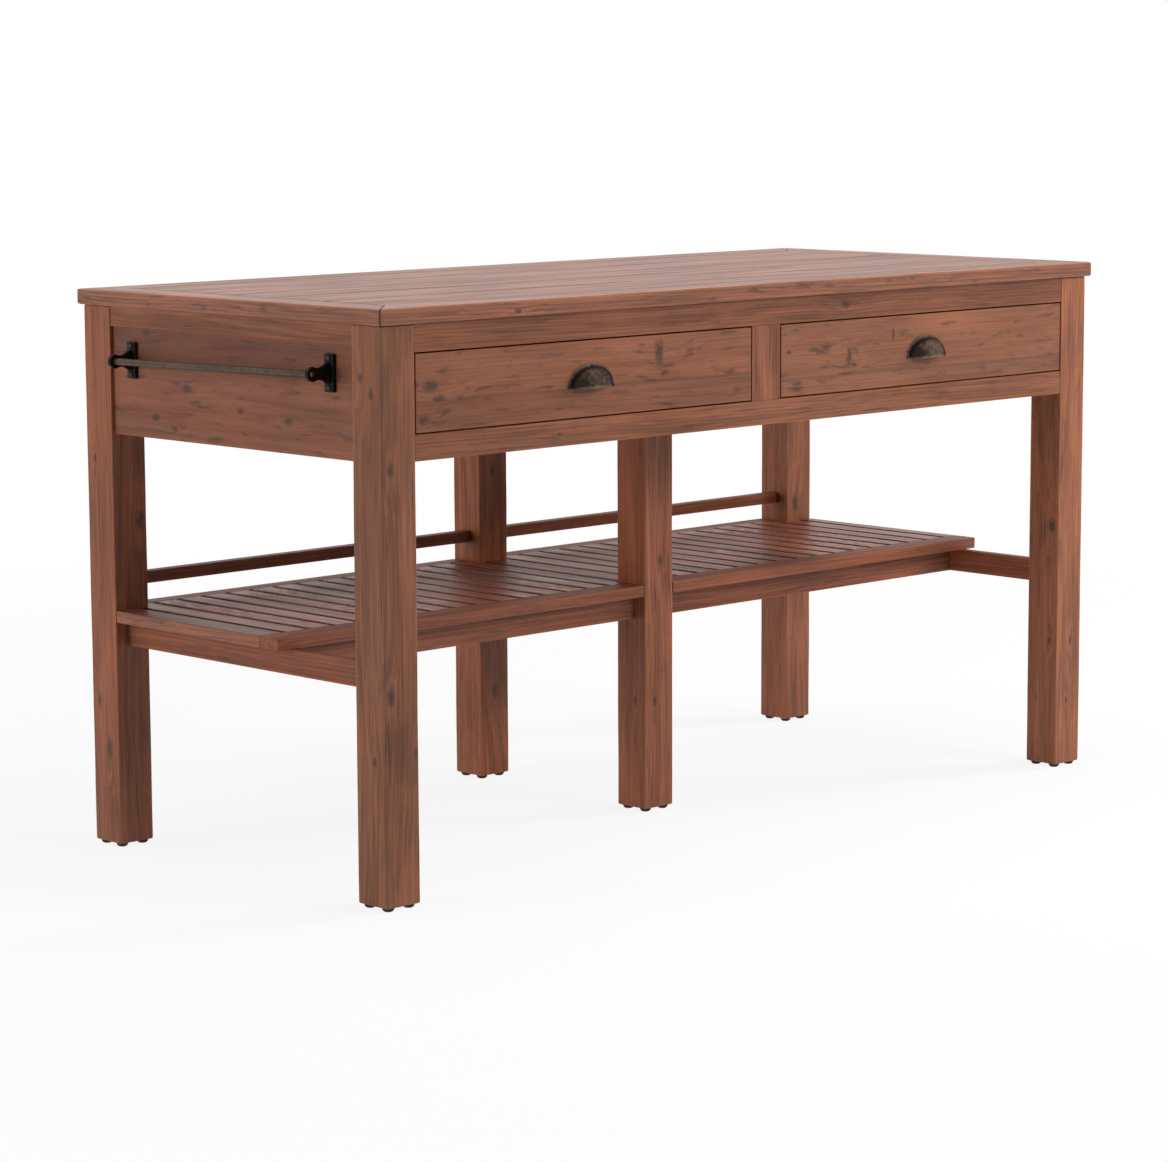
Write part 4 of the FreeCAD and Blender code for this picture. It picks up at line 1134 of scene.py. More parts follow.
def made_by(tree, name, places, material, values):
    """A piece that a geometry tree makes from points, as a plain mesh. Values are its inputs by name."""
    mesh = bpy.data.meshes.new(name)
    mesh.from_pydata(places, [], [])
    piece = new_object(name, mesh, material)
    maker = piece.modifiers.new(tree.name, "NODES")
    maker.node_group = tree
    unset = {**values, "Material": material}
    for socket in tree.interface.items_tree:
        if socket.in_out == "INPUT" and socket.name in unset:
            maker[socket.identifier] = unset.pop(socket.name)
    if unset:
        raise RuntimeError(f"{tree.name} has no input for {sorted(unset)}")
    plain_mesh(piece)
    if not piece.data.polygons:
        raise RuntimeError(f"{tree.name} made nothing for {name}")
    return piece


def end_tree(tree, given, geometry):
    """Gives a tree's geometry its material and sends it out."""
    made = add(tree, "GeometryNodeSetMaterial", {"Geometry": geometry, "Material": given["Material"]})
    add(tree, "NodeGroupOutput", {"Geometry": made}, None)
    return tree


def slat_shape(tree, given):
    """One slat about the origin, with rounded long edges, its grain along Y and painted shade on its sides.
    """
    half = add(tree, "ShaderNodeMath", {0: given["Length"], 1: 0.5}, operation="MULTIPLY")
    back = add(tree, "ShaderNodeMath", {0: half, 1: -1.0}, operation="MULTIPLY")
    start = add(tree, "ShaderNodeCombineXYZ", {"Y": back})
    end = add(tree, "ShaderNodeCombineXYZ", {"Y": half})
    path = add(tree, "GeometryNodeCurvePrimitiveLine", {"Start": start, "End": end})
    outline = add(tree, "GeometryNodeCurvePrimitiveQuadrilateral",
                  {"Width": given["Width"], "Height": given["Thickness"]})
    outline = add(tree, "GeometryNodeFilletCurve",
                  {"Curve": outline, "Radius": given["Rounding"], "Limit Radius": True})
    slat = add(tree, "GeometryNodeCurveToMesh",
               {"Curve": path, "Profile Curve": outline, "Fill Caps": True})
    slat = add(tree, "GeometryNodeSetShadeSmooth", {"Geometry": slat, "Shade Smooth": False})
    place = add(tree, "ShaderNodeSeparateXYZ", {0: add(tree, "GeometryNodeInputPosition")}, None)
    grain = add(tree, "ShaderNodeCombineXYZ", {"X": place["Y"], "Y": place["Z"], "Z": place["X"]})
    slat = add(tree, "GeometryNodeStoreNamedAttribute", {"Geometry": slat, "Name": "grain", "Value": grain},
               data_type="FLOAT_VECTOR", domain="POINT")
    beside = add(tree, "ShaderNodeMath", {0: place["X"]}, operation="ABSOLUTE")
    half_wide = add(tree, "ShaderNodeMath", {0: given["Width"], 1: 0.5}, operation="MULTIPLY")
    flat = add(tree, "ShaderNodeMath", {0: half_wide, 1: given["Rounding"]}, operation="SUBTRACT")
    # Painted shade: the slat is painted darker towards its sides, where they face the slits
    dark = add(tree, "ShaderNodeMapRange",
               {"Value": beside, "From Min": flat, "From Max": half_wide, "To Max": SEAM_WAX_AND_SHADE})
    return add(tree, "GeometryNodeStoreNamedAttribute", {"Geometry": slat, "Name": "edge", "Value": dark},
               data_type="FLOAT", domain="POINT")


def slat_tree():
    """A row of like slats: each point becomes the middle of a slat with a cut and a stain of its own."""
    tree, given = node_tree("slat_row", {
        "Width": "Float", "Thickness": "Float", "Length": "Float", "Rounding": "Float", "Stain": "Vector",
        "Seed": "Int", "Material": "Material"})
    slat = slat_shape(tree, given)
    row = add(tree, "GeometryNodeInstanceOnPoints", {"Points": given["Geometry"], "Instance": slat})
    chance = {"ID": add(tree, "GeometryNodeInputIndex"), "Seed": given["Seed"]}
    lowest, highest = SLAT_PITH_UNDER
    cuts = {"Min": (-FAR_ALONG, lowest, -PITH_ASIDE), "Max": (FAR_ALONG, highest, PITH_ASIDE)}
    cut = add(tree, "FunctionNodeRandomValue", {**chance, **cuts}, data_type="FLOAT_VECTOR")
    # A single random number has its lowest and highest value in the third and fourth input
    lowest, highest = SLAT_SHADES
    shade = add(tree, "FunctionNodeRandomValue", {**chance, 2: lowest, 3: highest}, 1, data_type="FLOAT")
    stain = add(tree, "ShaderNodeVectorMath", {0: given["Stain"], "Scale": shade}, operation="SCALE")
    for label, value in (("cut", cut), ("stain", stain)):
        row = add(tree, "GeometryNodeStoreNamedAttribute", {"Geometry": row, "Name": label, "Value": value},
                  data_type="FLOAT_VECTOR", domain="INSTANCE")
    row = add(tree, "GeometryNodeRealizeInstances", {"Geometry": row})
    own, cut = [add(tree, "GeometryNodeInputNamedAttribute", {"Name": label}, data_type="FLOAT_VECTOR")
                for label in ("grain", "cut")]
    grain = add(tree, "ShaderNodeVectorMath", {0: own, 1: cut}, operation="ADD")
    row = add(tree, "GeometryNodeStoreNamedAttribute", {"Geometry": row, "Name": "grain", "Value": grain},
              data_type="FLOAT_VECTOR", domain="POINT")
    return end_tree(tree, given, row)


class ISLAND_OT_shelf_slats(bpy.types.Operator):
    """Slats of the shelf: rows of like slats, and the cut ones beside the legs"""

    bl_idname = "island.shelf_slats"
    bl_label = "Shelf Slats"

    # From one slat to the next, the slit between two, a slat's width, and the gap that is left at a leg
    pitch = 50.8 * MM
    slit = 10 * MM
    wide = pitch - slit
    leg_room = 1.5 * MM
    # Like slats in each row, and the first and last slit of the shelf along X
    regular = 13
    first_slit = -786
    last_slit = 802
    stains = {"left": (1.44, 1.05, 1.02), "right": (1.31, 1.08, 1.12)}
    end_stain = (1.0, 0.88, 0.84)
    seeds = {"left": 3, "right": 4}

    def ends(self, side):
        """The front and the back end of a whole slat."""
        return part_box(f"shelf_front_board_{side}")[1].y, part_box(f"shelf_back_board_{side}")[0].y

    def left_cuts(self):
        """Cut slats of the left row: low and high x, front and back end, trims, and sides at a slit."""
        front, back = self.ends("left")
        low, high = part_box("shelf_slats_left")
        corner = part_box("leg_back_left")
        leg_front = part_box("leg_middle_front")[1].y + self.leg_room
        leg_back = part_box("leg_middle_back")[0].y - self.leg_room
        short_back = corner[0].y - self.leg_room
        beside = at(self.first_slit, 0, 0).x + self.slit / 2
        bite = corner[1].x + self.leg_room - beside
        middle = beside + (self.regular + 1) * self.pitch
        middle_bite = middle + self.wide - (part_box("leg_middle_front")[0].x - self.leg_room)
        corner_notch = (Trim(X, -1, short_back, back, bite, soft=False),)
        middle_notches = (Trim(X, 1, front, leg_front, middle_bite, soft=False),
                          Trim(X, 1, leg_back, back, middle_bite, soft=False))
        return (
            (low.x, beside - self.slit, front, short_back, (), (1,)),
            (beside, beside + self.wide, front, back, corner_notch, (-1, 1)),
            (middle, middle + self.wide, front, back, middle_notches, (-1, 1)),
            (middle + self.pitch, high.x, leg_front, leg_back, (), (-1, 1)),
        )

    def right_cuts(self):
        """Cut slats of the right row, as for the left one."""
        front, back = self.ends("right")
        low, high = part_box("shelf_slats_right")
        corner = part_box("leg_back_right")
        short_back = corner[0].y - self.leg_room
        last = at(self.last_slit, 0, 0).x + self.slit / 2
        beside = last - self.pitch
        bite = beside + self.wide - (corner[0].x - self.leg_room)
        corner_notch = (Trim(X, 1, short_back, back, bite, soft=False),)
        return (
            (low.x, beside - self.regular * self.pitch - self.slit, front, back, (), (-1, 1)),
            (beside, beside + self.wide, front, back, corner_notch, (-1, 1)),
            (last, high.x, front, short_back, (), (-1,)),
        )

    def row(self, side, tree, start):
        """The like slats between the cut ones."""
        node = f"shelf_slats_{side}"
        low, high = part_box(node)
        front, back = self.ends(side)
        first = Vector((start + self.wide / 2, (front + back) / 2, (low.z + high.z) / 2))
        places = [first + Vector((i * self.pitch, 0, 0)) for i in range(self.regular)]
        return made_by(tree, f"{node}_row", places, waxed_pine(), {
            "Width": self.wide, "Thickness": high.z - low.z, "Length": back - front,
            "Rounding": sizes().slat_round, "Stain": self.stains[side], "Seed": self.seeds[side]})

    def cut_slats(self, side, cuts):
        """The slats that stop at a leg or stand beside one."""
        node = f"shelf_slats_{side}"
        bottom, top = (corner.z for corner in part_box(node))
        boards = Boards(node)
        for low, high, front, back, trims, slit_sides in cuts:
            stain = self.stains[side] if len(slit_sides) == 2 else self.end_stain
            # A slat's sides at a slit get painted shade
            boards.add(Vector((low, front, bottom)), Vector((high, back, top)), Y, sizes().slat_round,
                       stain, trims=trims, wax_and_shade_sides=[(X, sign) for sign in slit_sides])
        return boards.piece(f"{node}_at_legs", waxed_pine())

    def execute(self, context):
        tree = slat_tree()
        left, right = self.left_cuts(), self.right_cuts()
        starts = {"left": left[1][0] + self.pitch, "right": right[1][0] - self.regular * self.pitch}
        for side, cuts in (("left", left), ("right", right)):
            node = f"shelf_slats_{side}"
            stand_for(self.row(side, tree, starts[side]), "stained_pine", node)
            stand_for(self.cut_slats(side, cuts), "stained_pine", node)
        return {"FINISHED"}


class ISLAND_OT_drawers(bpy.types.Operator):
    """Drawer fronts, stained, and drawer boxes in raw pine"""

    bl_idname = "island.drawers"
    bl_label = "Drawers"

    knots = {
        "left": ((-250, -364, 815, -9), (-238, -364, 782, 5), (-738, -364, 793, 8), (-720, -364, 773, 6),
                 (-753, -364, 743, 7)),
        "right": ((147, -364, 802, 6), (204, -364, 784, -7), (216, -364, 768, 4), (316, -364, 812, -4),
                  (54, -364, 798, 3)),
    }
    # Height of the glued joint, stain of the lower and of the upper board
    glue_joints = {
        "left": (770, (0.97, 0.99, 1.03), (1.05, 1.07, 1.1)),
        "right": (752, (1.0, 1.06, 1.1), (1.06, 1.11, 1.14)),
    }

    def execute(self, context):
        for side in ("left", "right"):
            node = f"drawer_front_{side}"
            boards = Boards(node)
            joint, *stains = self.glue_joints[side]
            glued_boards(boards, *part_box(node), X, joint, stains, face_knots(*self.knots[side]))
            boards.dress(node, plain_sawn_pine())
            for part in (f"drawer_side_{side}_a", f"drawer_side_{side}_b", f"drawer_back_{side}",
                         f"drawer_bottom_{side}"):
                raw_board(part)
        return {"FINISHED"}


class ISLAND_OT_drawer_ways(bpy.types.Operator):
    """Runners, kickers, stop bars and back stops inside the apron"""

    bl_idname = "island.drawer_ways"
    bl_label = "Drawer Ways"

    def execute(self, context):
        for node in ("drawer_runners", "drawer_kickers", "drawer_stop_bars", "drawer_back_stops"):
            raw_board(node)
        return {"FINISHED"}


def raw_board(node):
    """An unstained board of the drawers, with lightly sanded edges."""
    piece = eased_copy(f"{node}_eased", node, raw_pine(), sizes().edge_round / 2)
    grain_on_copy(piece, node)
    stand_for(piece, "drawer_pine", node)


def ring_shell(name, rings, material, sharp_degrees):
    """A closed shell through rings of points, each with one value for its rubbing, patina and painted
    light.
    """
    shape = bmesh.new()
    rub_and_painted_light_layer = shape.verts.layers.float.new("rub")
    rows = []
    for ring in rings:
        row = [shape.verts.new(spot) for spot, _ in ring]
        for point, (_, rub) in zip(row, ring):
            point[rub_and_painted_light_layer] = rub
        rows.append(row)
    for a, b in zip(rows, rows[1:]):
        for k in range(len(a)):
            following = (k + 1) % len(a)
            shape.faces.new((a[k], b[k], b[following], a[following]))
    for end in (rows[0], rows[-1]):
        for k in range(1, len(end) - 1):
            shape.faces.new((end[0], end[k], end[k + 1]))
    bmesh.ops.remove_doubles(shape, verts=shape.verts, dist=SLIVER_GAP)
    bmesh.ops.recalc_face_normals(shape, faces=shape.faces)
    mesh = shape_to_mesh(shape, name)
    shade_by_angle(mesh, sharp_degrees)
    return new_object(name, mesh, material)


class ISLAND_OT_cup_pulls(bpy.types.Operator):
    """Stamped cup pulls with a flat flange, a domed cup and a rolled lip"""

    bl_idname = "island.cup_pulls"
    bl_label = "Cup Pulls"

    # Steps round the pull, up its cup and round its lip, and the angle above which an edge stays sharp
    steps_round = 56
    steps_up = 14
    steps_lip = 6
    sharp_degrees = 42
    # Thickness of the flange and of the cup, the lip's height over the flange's foot, and the flange that
    # shows beside the cup and above it
    flange = 2 * MM
    wall = 2 * MM
    lip_rise = 2.5 * MM
    ear = 9 * MM
    band = 7 * MM
    # Rim of the flange: distance in from its outline, share of its thickness, how far it is rubbed bright
    rim = ((0, 0, -0.3), (0, 0.5, 0.1), (0.25 * MM, 0.75, 0.3), (0.8 * MM, 1.0, 0.1))
    # The cup: fuller than a circle, up to these angles outside and inside, and thinned towards its lip
    fullness = 0.85
    top_outside = math.radians(84)
    top_inside = math.radians(88)
    thinned = 0.5 * MM
    # Sine of the turn from an end at which the lip's bead and the thinning are full
    swell_part = 1 / 3
    # How bright the pull is rubbed: the cup, its darker top and how fast that fades, the lip, the inside,
    # and the painted shade that makes its two ends duller
    cup_rub = -0.2
    top_rub = -0.7
    top_fade = 3
    lip_rub = 0.2
    inside_rub = -0.6
    end_painted_light = -0.45

    def cup_rows(self, cup, sine, steps):
        """Rows up the cup as reach, depth, rise and rub, from the angle, the distance in and the rub."""
        wide, deep, tall = cup
        rows = []
        for up, inset, rub in steps:
            depth = (deep - inset) * sine * math.cos(up) ** self.fullness
            rise = (tall - inset) * sine * math.sin(up) ** self.fullness
            rows.append((wide - inset, depth, rise, rub))
        return rows

    def lip_rows(self, cup, sine, swell):
        """Rows round the rolled lip, which thins to the wall's own edge at the two ends."""
        wide, deep, _ = cup
        bead = self.wall / 2 + (sizes().lip_bead - self.wall / 2) * swell
        rows = []
        for i in range(self.steps_lip + 1):
            roll = math.pi * i / self.steps_lip
            inset = bead - bead * math.cos(roll)
            rows.append((wide - inset, (deep - inset) * sine, -bead * math.sin(roll) * swell, self.lip_rub))
        return rows

    def section(self, low, high, turn):
        """The pull's closed section at one turn from its right end to its left, as points with how far
        each is rubbed bright, with painted shade towards the ends: flange, cup, lip and the inside
        of the cup."""
        cosine, sine = math.cos(turn), math.sin(turn)
        swell = min(1.0, sine / self.swell_part)
        wide, tall = (high.x - low.x) / 2, high.z - low.z
        cup = (wide - self.ear, high.y - low.y, tall - self.band - self.lip_rise)
        parts = [i / self.steps_up for i in range(self.steps_up)]
        outside = [(self.top_outside * (1 - part), self.thinned * part * swell,
                    min(self.cup_rub, self.top_rub + self.top_fade * part)) for part in parts]
        inside = [(self.top_inside * part, self.wall, self.inside_rub) for part in parts[1:]]
        rows = [(wide - inset, share * self.flange, (tall - inset) * sine - self.lip_rise, rub)
                for inset, share, rub in self.rim]
        rows += self.cup_rows(cup, sine, outside)
        rows += self.lip_rows(cup, sine, swell)
        rows += self.cup_rows(cup, sine, inside)
        rows.append((cup[0] - self.wall, 0.0, (cup[2] - self.wall) * sine, self.inside_rub))
        middle = (low.x + high.x) / 2
        lip = low.z + self.lip_rise
        # Painted shade: both ends of the pull are painted darker
        painted_end_shade = self.end_painted_light * cosine ** 2
        return [(Vector((middle + reach * cosine, high.y - depth, lip + rise)), rub + painted_end_shade)
                for reach, depth, rise, rub in rows]

    def execute(self, context):
        for side in ("left", "right"):
            node = f"cup_pull_{side}"
            turns = [math.pi * i / self.steps_round for i in range(self.steps_round + 1)]
            sections = [self.section(*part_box(node), turn) for turn in turns]
            pull = ring_shell(f"{node}_shell", sections, pull_bronze(), self.sharp_degrees)
            stand_for(pull, "pull_bronze", node)
        return {"FINISHED"}


class ISLAND_OT_towel_rail(bpy.types.Operator):
    """Towel bar and its cast brackets"""

    bl_idname = "island.towel_rail"
    bl_label = "Towel Rail"

    # Sides of the bar, and the rounding of its ends with its steps
    sides = 40
    dome = 3 * MM
    dome_steps = 4
    # Angles above which an edge stays sharp, and the shortest edge of a casting that is eased
    bar_sharp_degrees = 35
    cast_sharp_degrees = 48
    shortest_eased = 3 * MM
    # The ends of the bar get a painted highlight, less with the turn of the dome, and none this far in
    end_painted_light = 0.8
    highlight_fade = 0.3
    highlight_reach = 9 * MM

    def bar_ends(self, radius):
        """Rows from the end of the bar to past its dome: place along, radius, and its painted highlight."""
        rows = []
        for i in range(self.dome_steps + 1):
            turn = math.pi / 2 * i / self.dome_steps
            size = radius - self.dome * (1 - math.sin(turn))
            rows.append((self.dome * (1 - math.cos(turn)), size, self.end_painted_light - self.highlight_fade * turn))
        rows.append((self.highlight_reach, radius, 0.0))
        return rows

    def bar(self):
        """A round rod between its two ends, which stand at different heights, with domed ends."""
        low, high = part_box("towel_bar")
        radius = (high.x - low.x) / 2
        middle = (low.x + high.x) / 2
        start = Vector((middle, low.y, high.z - radius))
        end = Vector((middle, high.y, low.z + radius))
        way = (end - start).normalized()
        out = Vector((1, 0, 0))
        up = way.cross(out)
        rows = self.bar_ends(radius)
        rows += [((end - start).length - place, size, rub) for place, size, rub in reversed(rows)]
        turns = [2 * math.pi * i / self.sides for i in range(self.sides)]
        rings = [[(start + way * place + (out * math.cos(turn) + up * math.sin(turn)) * size, rub)
                  for turn in turns] for place, size, rub in rows]
        return ring_shell("towel_bar_rod", rings, bar_bronze(), self.bar_sharp_degrees)

    def execute(self, context):
        stand_for(self.bar(), "bar_bronze", "towel_bar")
        for end in ("front", "back"):
            node = f"towel_bracket_{end}"
            piece = eased_copy(f"{node}_cast", node, cast_iron(), sizes().cast_round, self.shortest_eased)
            shade_by_angle(piece.data, self.cast_sharp_degrees)
            stand_for(piece, "bracket_iron", node)
        return {"FINISHED"}


def domed(tree, cylinder, height, end, amount):
    """Draws an upright cylinder in towards one end, 1 for the upper and -1 for the lower, by a share."""
    place = add(tree, "ShaderNodeSeparateXYZ", {0: add(tree, "GeometryNodeInputPosition")}, None)
    part = add(tree, "ShaderNodeMath", {0: place["Z"], 1: height}, operation="DIVIDE")
    part = add(tree, "ShaderNodeMath", {0: part, 1: end, 2: 0.5}, operation="MULTIPLY_ADD")
    bent = add(tree, "ShaderNodeMath", {0: part, 1: DOME_POWER}, operation="POWER")
    drawn = add(tree, "ShaderNodeMath", {0: bent, 1: amount}, operation="MULTIPLY")
    kept = add(tree, "ShaderNodeMath", {0: 1.0, 1: drawn}, operation="SUBTRACT")
    x, y = [add(tree, "ShaderNodeMath", {0: place[axis], 1: kept}, operation="MULTIPLY") for axis in "XY"]
    shaped = add(tree, "ShaderNodeCombineXYZ", {"X": x, "Y": y, "Z": place["Z"]})
    return add(tree, "GeometryNodeSetPosition", {"Geometry": cylinder, "Position": shaped})


def screw_head(tree, given):
    """A domed head on the origin with a slot across it."""
    height = given["Head Height"]
    head = add(tree, "GeometryNodeMeshCylinder",
               {"Vertices": HEAD_SIDES, "Side Segments": 4, "Fill Segments": 3,
                "Radius": given["Head Radius"], "Depth": height})
    head = domed(tree, head, height, 1, given["Dome"])
    half = add(tree, "ShaderNodeMath", {0: height, 1: 0.5}, operation="MULTIPLY")
    lift = add(tree, "ShaderNodeCombineXYZ", {"Z": half})
    head = add(tree, "GeometryNodeTransform", {"Geometry": head, "Translation": lift})
    wide = add(tree, "ShaderNodeMath", {0: given["Head Radius"], 1: BLADE_LONG}, operation="MULTIPLY")
    size = add(tree, "ShaderNodeCombineXYZ", {"X": wide, "Y": given["Slot"], "Z": height})
    blade = add(tree, "GeometryNodeMeshCube", {"Size": size})
    above = add(tree, "ShaderNodeCombineXYZ", {"Z": height})
    blade = add(tree, "GeometryNodeTransform", {"Geometry": blade, "Translation": above})
    return add(tree, "GeometryNodeMeshBoolean", {"Mesh 1": head, "Mesh 2": blade}, operation="DIFFERENCE",
               solver="EXACT")


def screw_tree():
    """Slotted screws: each point becomes the seat of a head that faces +Z before the turn."""
    tree, given = node_tree("slotted_screws", {
        "Head Radius": "Float", "Head Height": "Float", "Dome": "Float", "Shank Radius": "Float",
        "Shank Length": "Float", "Slot": "Float", "Turn": "Rotation", "Material": "Material"})
    shank = add(tree, "GeometryNodeMeshCylinder",
                {"Vertices": SHANK_SIDES, "Radius": given["Shank Radius"], "Depth": given["Shank Length"]})
    down = add(tree, "ShaderNodeMath", {0: given["Shank Length"], 1: -0.5}, operation="MULTIPLY")
    below = add(tree, "ShaderNodeCombineXYZ", {"Z": down})
    shank = add(tree, "GeometryNodeTransform", {"Geometry": shank, "Translation": below})
    screw = add(tree, "GeometryNodeJoinGeometry", {0: screw_head(tree, given)})
    tree.links.new(shank, screw.node.inputs[0])
    screws = add(tree, "GeometryNodeInstanceOnPoints",
                 {"Points": given["Geometry"], "Instance": screw, "Rotation": given["Turn"]})
    screws = add(tree, "GeometryNodeRealizeInstances", {"Geometry": screws})
    return end_tree(tree, given, screws)


class ISLAND_OT_screws(bpy.types.Operator):
    """Screws of the brackets, the pulls and the top"""

    bl_idname = "island.screws"
    bl_label = "Screws"

    # Axis, the way the heads face on it, head height and shank radius, dome, turn, finish and slot
    sets = {
        "bracket_screws": (X, -1, 3.5 * MM, 2.5 * MM, 0.35, (0, -90, 0), screw_iron, "bracket_iron"),
        "pull_screws_left": (Y, 1, 3 * MM, 2 * MM, 0.3, (-90, 0, 0), zinc_steel, "screw_steel"),
        "pull_screws_right": (Y, 1, 3 * MM, 2 * MM, 0.3, (-90, 0, 0), zinc_steel, "screw_steel"),
        "top_screws": (Z, -1, 4 * MM, 2.5 * MM, 0.0, (180, 0, 0), zinc_steel, "screw_steel"),
    }

    def execute(self, context):
        tree = screw_tree()
        for node, (axis, facing, head, shank, dome, turn, finish, slot) in self.sets.items():
            boxes = solid_boxes(node)
            seats = [(low + high) / 2 for low, high in boxes]
            for seat, (low, high) in zip(seats, boxes):
                seat[axis] = high[axis] - head if facing == 1 else low[axis] + head
            size = boxes[0][1] - boxes[0][0]
            piece = made_by(tree, f"{node}_slotted", seats, finish(), {
                "Head Radius": size[(axis + 1) % 3] / 2, "Head Height": head, "Dome": dome,
                "Shank Radius": shank, "Shank Length": size[axis] - head, "Slot": sizes().slot_wide,
                "Turn": Euler([math.radians(angle) for angle in turn])})
            stand_for(piece, slot, node)
        return {"FINISHED"}


def glide_tree():
    """Nail-on glides: each point becomes the middle of a foot with a rounded rim."""
    tree, given = node_tree("nail_on_glides", {
        "Radius": "Float", "Height": "Float", "Dome": "Float", "Material": "Material"})
    foot = add(tree, "GeometryNodeMeshCylinder",
               {"Vertices": HEAD_SIDES, "Side Segments": 6, "Fill Segments": 2, "Radius": given["Radius"],
                "Depth": given["Height"]})
    foot = domed(tree, foot, given["Height"], -1, given["Dome"])
    feet = add(tree, "GeometryNodeInstanceOnPoints", {"Points": given["Geometry"], "Instance": foot})
    feet = add(tree, "GeometryNodeRealizeInstances", {"Geometry": feet})
    return end_tree(tree, given, feet)


class ISLAND_OT_glides(bpy.types.Operator):
    """Four nail-on glides under each leg"""

    bl_idname = "island.glides"
    bl_label = "Glides"

    # Share by which a foot is drawn in at the floor, and the angle above which its edges stay sharp
    dome = 0.36
    sharp_degrees = 40

    def execute(self, context):
        boxes = solid_boxes("leg_glides")
        size = boxes[0][1] - boxes[0][0]
        places = [(low + high) / 2 for low, high in boxes]
        piece = made_by(glide_tree(), "leg_glides_moulded", places, glide_plastic(), {
            "Radius": size.x / 2, "Height": size.z, "Dome": self.dome})
        shade_by_angle(piece.data, self.sharp_degrees)
        stand_for(piece, "glide_plastic", "leg_glides")
        return {"FINISHED"}


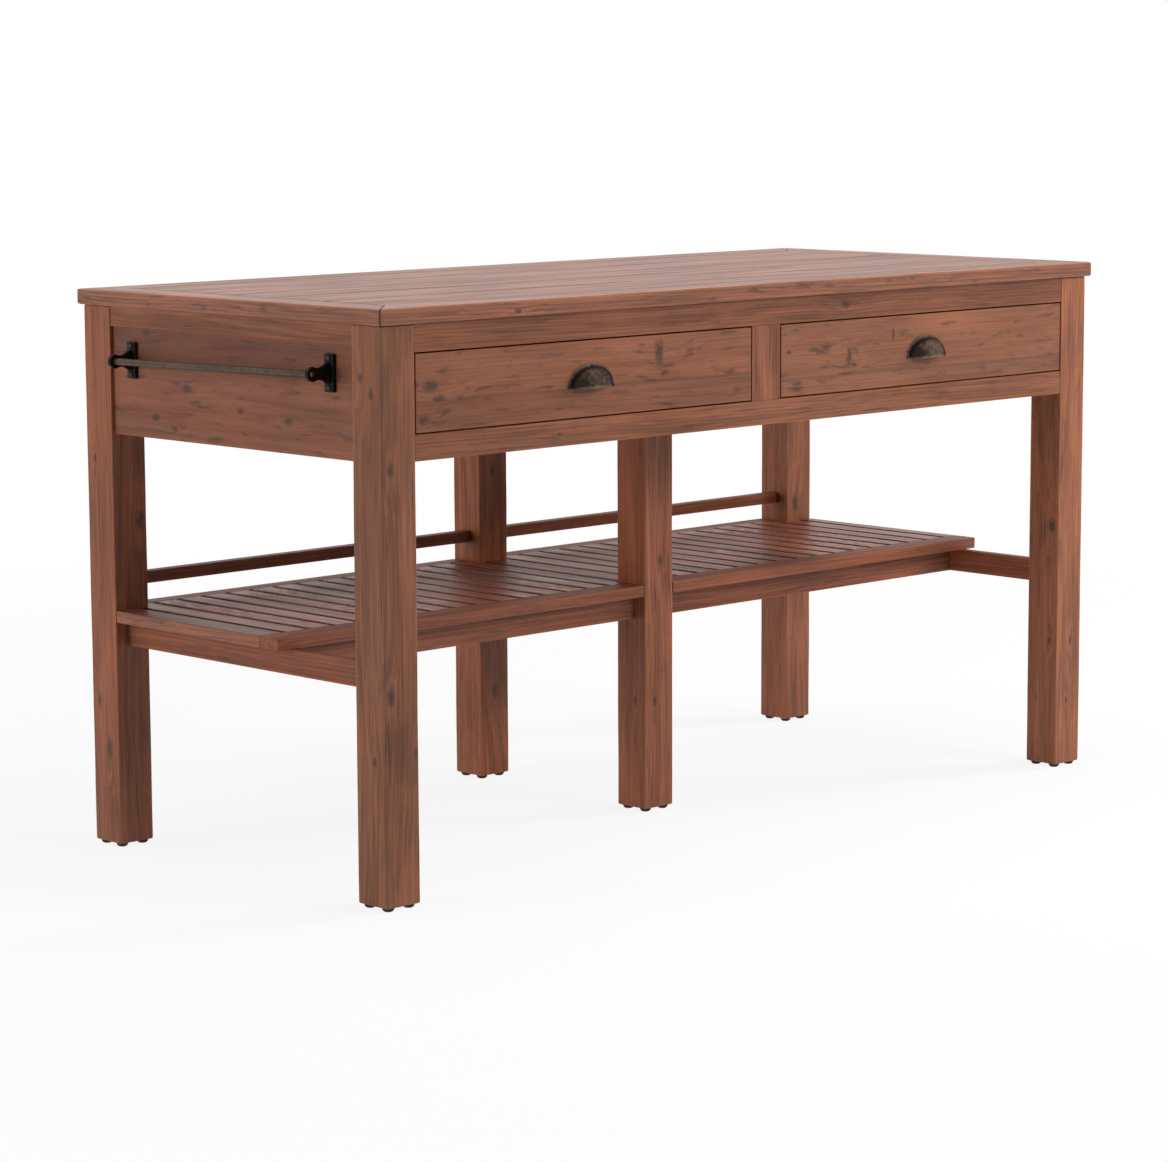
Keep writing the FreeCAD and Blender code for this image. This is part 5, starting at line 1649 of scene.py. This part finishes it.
class ISLAND_OT_stage(bpy.types.Operator):
    """Pale floor, white surroundings, soft lamps and the camera"""

    bl_idname = "island.stage"
    bl_label = "Stage"

    # Half the floor's side in metres
    floor_half = 30.0
    # Distance from the island's middle and share of plain white in the floor, near it and far away
    near_floor = (1.2, 0.88)
    far_floor = (3.5, 1.0)
    # How strongly the white surroundings light the island
    sky_strength = 0.03
    # Lamps: place, size in metres and watts, all aimed at the middle of the island
    lamps = {
        "key": ((1.8, -4.6, 2.7), 1.8, 112),
        "right": ((5.2, -2.2, 2.4), 2.0, 290),
        "left": ((-7.3, 2.6, 1.2), 4.0, 385),
        "top": ((0.0, 0.0, 4.2), 3.2, 103),
    }
    lamp_aim = Vector((0, 0, 0.5))
    farthest_seen = 200

    def seen(self, tree):
        """1 for rays that should meet a plain white surrounding: the camera's, and mirrored ones."""
        path = add(tree, "ShaderNodeLightPath", out=None)
        seen = path["Is Camera Ray"]
        for ray in ("Is Glossy Ray", "Is Transmission Ray"):
            seen = add(tree, "ShaderNodeMath", {0: seen, 1: path[ray]}, operation="MAXIMUM")
        return seen

    def floor_paint(self):
        """Painted studio floor: matt and pale, shown white apart from the island's soft shadow."""
        material, tree = new_material("matt_studio_floor")
        matt = add(tree, "ShaderNodeBsdfDiffuse", {"Color": (*colours().floor, 1)})
        white = add(tree, "ShaderNodeEmission", {"Color": (1, 1, 1, 1), "Strength": 1.0})
        place = add(tree, "ShaderNodeTexCoord", out="Object")
        away = add(tree, "ShaderNodeVectorMath", {0: place}, "Value", operation="LENGTH")
        (near, near_share), (far, far_share) = self.near_floor, self.far_floor
        plain = add(tree, "ShaderNodeMapRange", {"Value": away, "From Min": near, "From Max": far,
                                                 "To Min": near_share, "To Max": far_share})
        share = add(tree, "ShaderNodeMath", {0: self.seen(tree), 1: plain}, operation="MULTIPLY")
        shown = add(tree, "ShaderNodeMixShader", {0: share, 1: matt, 2: white})
        add(tree, "ShaderNodeOutputMaterial", {"Surface": shown}, None)
        return material

    def floor(self):
        """A wide flat floor under the island."""
        mesh = bpy.data.meshes.new("floor")
        corners = [(x * self.floor_half, y * self.floor_half, 0) for x, y in CORNERS]
        mesh.from_pydata(corners, [], [range(len(corners))])
        floor = new_object("floor", mesh, self.floor_paint())

    def surroundings(self):
        """A world that is seen white but lights the island only faintly."""
        world = bpy.data.worlds.new("white_studio")
        world.use_nodes = True
        tree = world.node_tree
        tree.nodes.clear()
        light, white = [add(tree, "ShaderNodeBackground", {"Color": (1, 1, 1, 1), "Strength": strength})
                        for strength in (self.sky_strength, 1.0)]
        shown = add(tree, "ShaderNodeMixShader", {0: self.seen(tree), 1: light, 2: white})
        add(tree, "ShaderNodeOutputWorld", {"Surface": shown}, None)
        bpy.context.scene.world = world

    def soft_lamps(self):
        """Lamps that light the wood; its sheen mirrors the white surroundings alone."""
        for name, (place, size, watts) in self.lamps.items():
            lamp = bpy.data.lights.new(name, "AREA")
            lamp.shape = "DISK"
            lamp.size = size
            lamp.energy = watts
            holder = bpy.data.objects.new(name, lamp)
            holder.location = place
            holder.visible_glossy = False
            holder.rotation_euler = (self.lamp_aim - Vector(place)).to_track_quat("-Z", "Y").to_euler()
            bpy.context.scene.collection.objects.link(holder)

    def camera(self):
        """The camera at the photograph's viewing angle."""
        lens = bpy.data.cameras.new("camera")
        lens.sensor_width = SENSOR_WIDE
        lens.lens = FOCAL_PIXELS / PICTURE_WIDE * SENSOR_WIDE
        lens.clip_end = self.farthest_seen
        camera = bpy.data.objects.new("camera", lens)
        level = Euler((math.radians(90 + CAMERA_PITCH), 0, math.radians(-CAMERA_YAW))).to_matrix()
        turned = level @ Matrix.Rotation(math.radians(-CAMERA_ROLL), 3, "Z")
        camera.location = CAMERA_PLACE
        camera.rotation_euler = turned.to_euler()
        bpy.context.scene.collection.objects.link(camera)
        bpy.context.scene.camera = camera

    def execute(self, context):
        self.floor()
        self.surroundings()
        self.soft_lamps()
        self.camera()
        context.scene.view_settings.view_transform = "Standard"
        return {"FINISHED"}


OPERATORS = (
    ISLAND_OT_legs, ISLAND_OT_top, ISLAND_OT_apron, ISLAND_OT_shelf_frame, ISLAND_OT_shelf_slats,
    ISLAND_OT_drawers, ISLAND_OT_drawer_ways, ISLAND_OT_cup_pulls, ISLAND_OT_towel_rail,
    ISLAND_OT_screws, ISLAND_OT_glides, ISLAND_OT_stage,
)


class ISLAND_PT_panel(bpy.types.Panel):
    """The island's pieces and settings"""

    bl_idname = "ISLAND_PT_panel"
    bl_label = "Kitchen Island"
    bl_space_type = "VIEW_3D"
    bl_region_type = "UI"
    bl_category = "Island"

    def draw(self, context):
        for operator in OPERATORS:
            self.layout.operator(operator.bl_idname)
        for group in (context.scene.island_sizes, context.scene.island_colours):
            box = self.layout.box()
            for key in group.__annotations__:
                box.prop(group, key)


CLASSES = (IslandSizes, IslandColours, *OPERATORS, ISLAND_PT_panel)


def register():
    """Makes the classes and the scene's settings known to Blender."""
    for item in CLASSES:
        bpy.utils.register_class(item)
    bpy.types.Scene.island_sizes = PointerProperty(type=IslandSizes)
    bpy.types.Scene.island_colours = PointerProperty(type=IslandColours)


def unregister():
    """Takes the settings and the classes out again."""
    del bpy.types.Scene.island_colours
    del bpy.types.Scene.island_sizes
    for item in reversed(CLASSES):
        bpy.utils.unregister_class(item)


def main():
    """Makes every piece in order."""
    register()
    for operator in OPERATORS:
        group, name = operator.bl_idname.split(".")
        getattr(getattr(bpy.ops, group), name)()


if __name__ == "__main__":
    main()
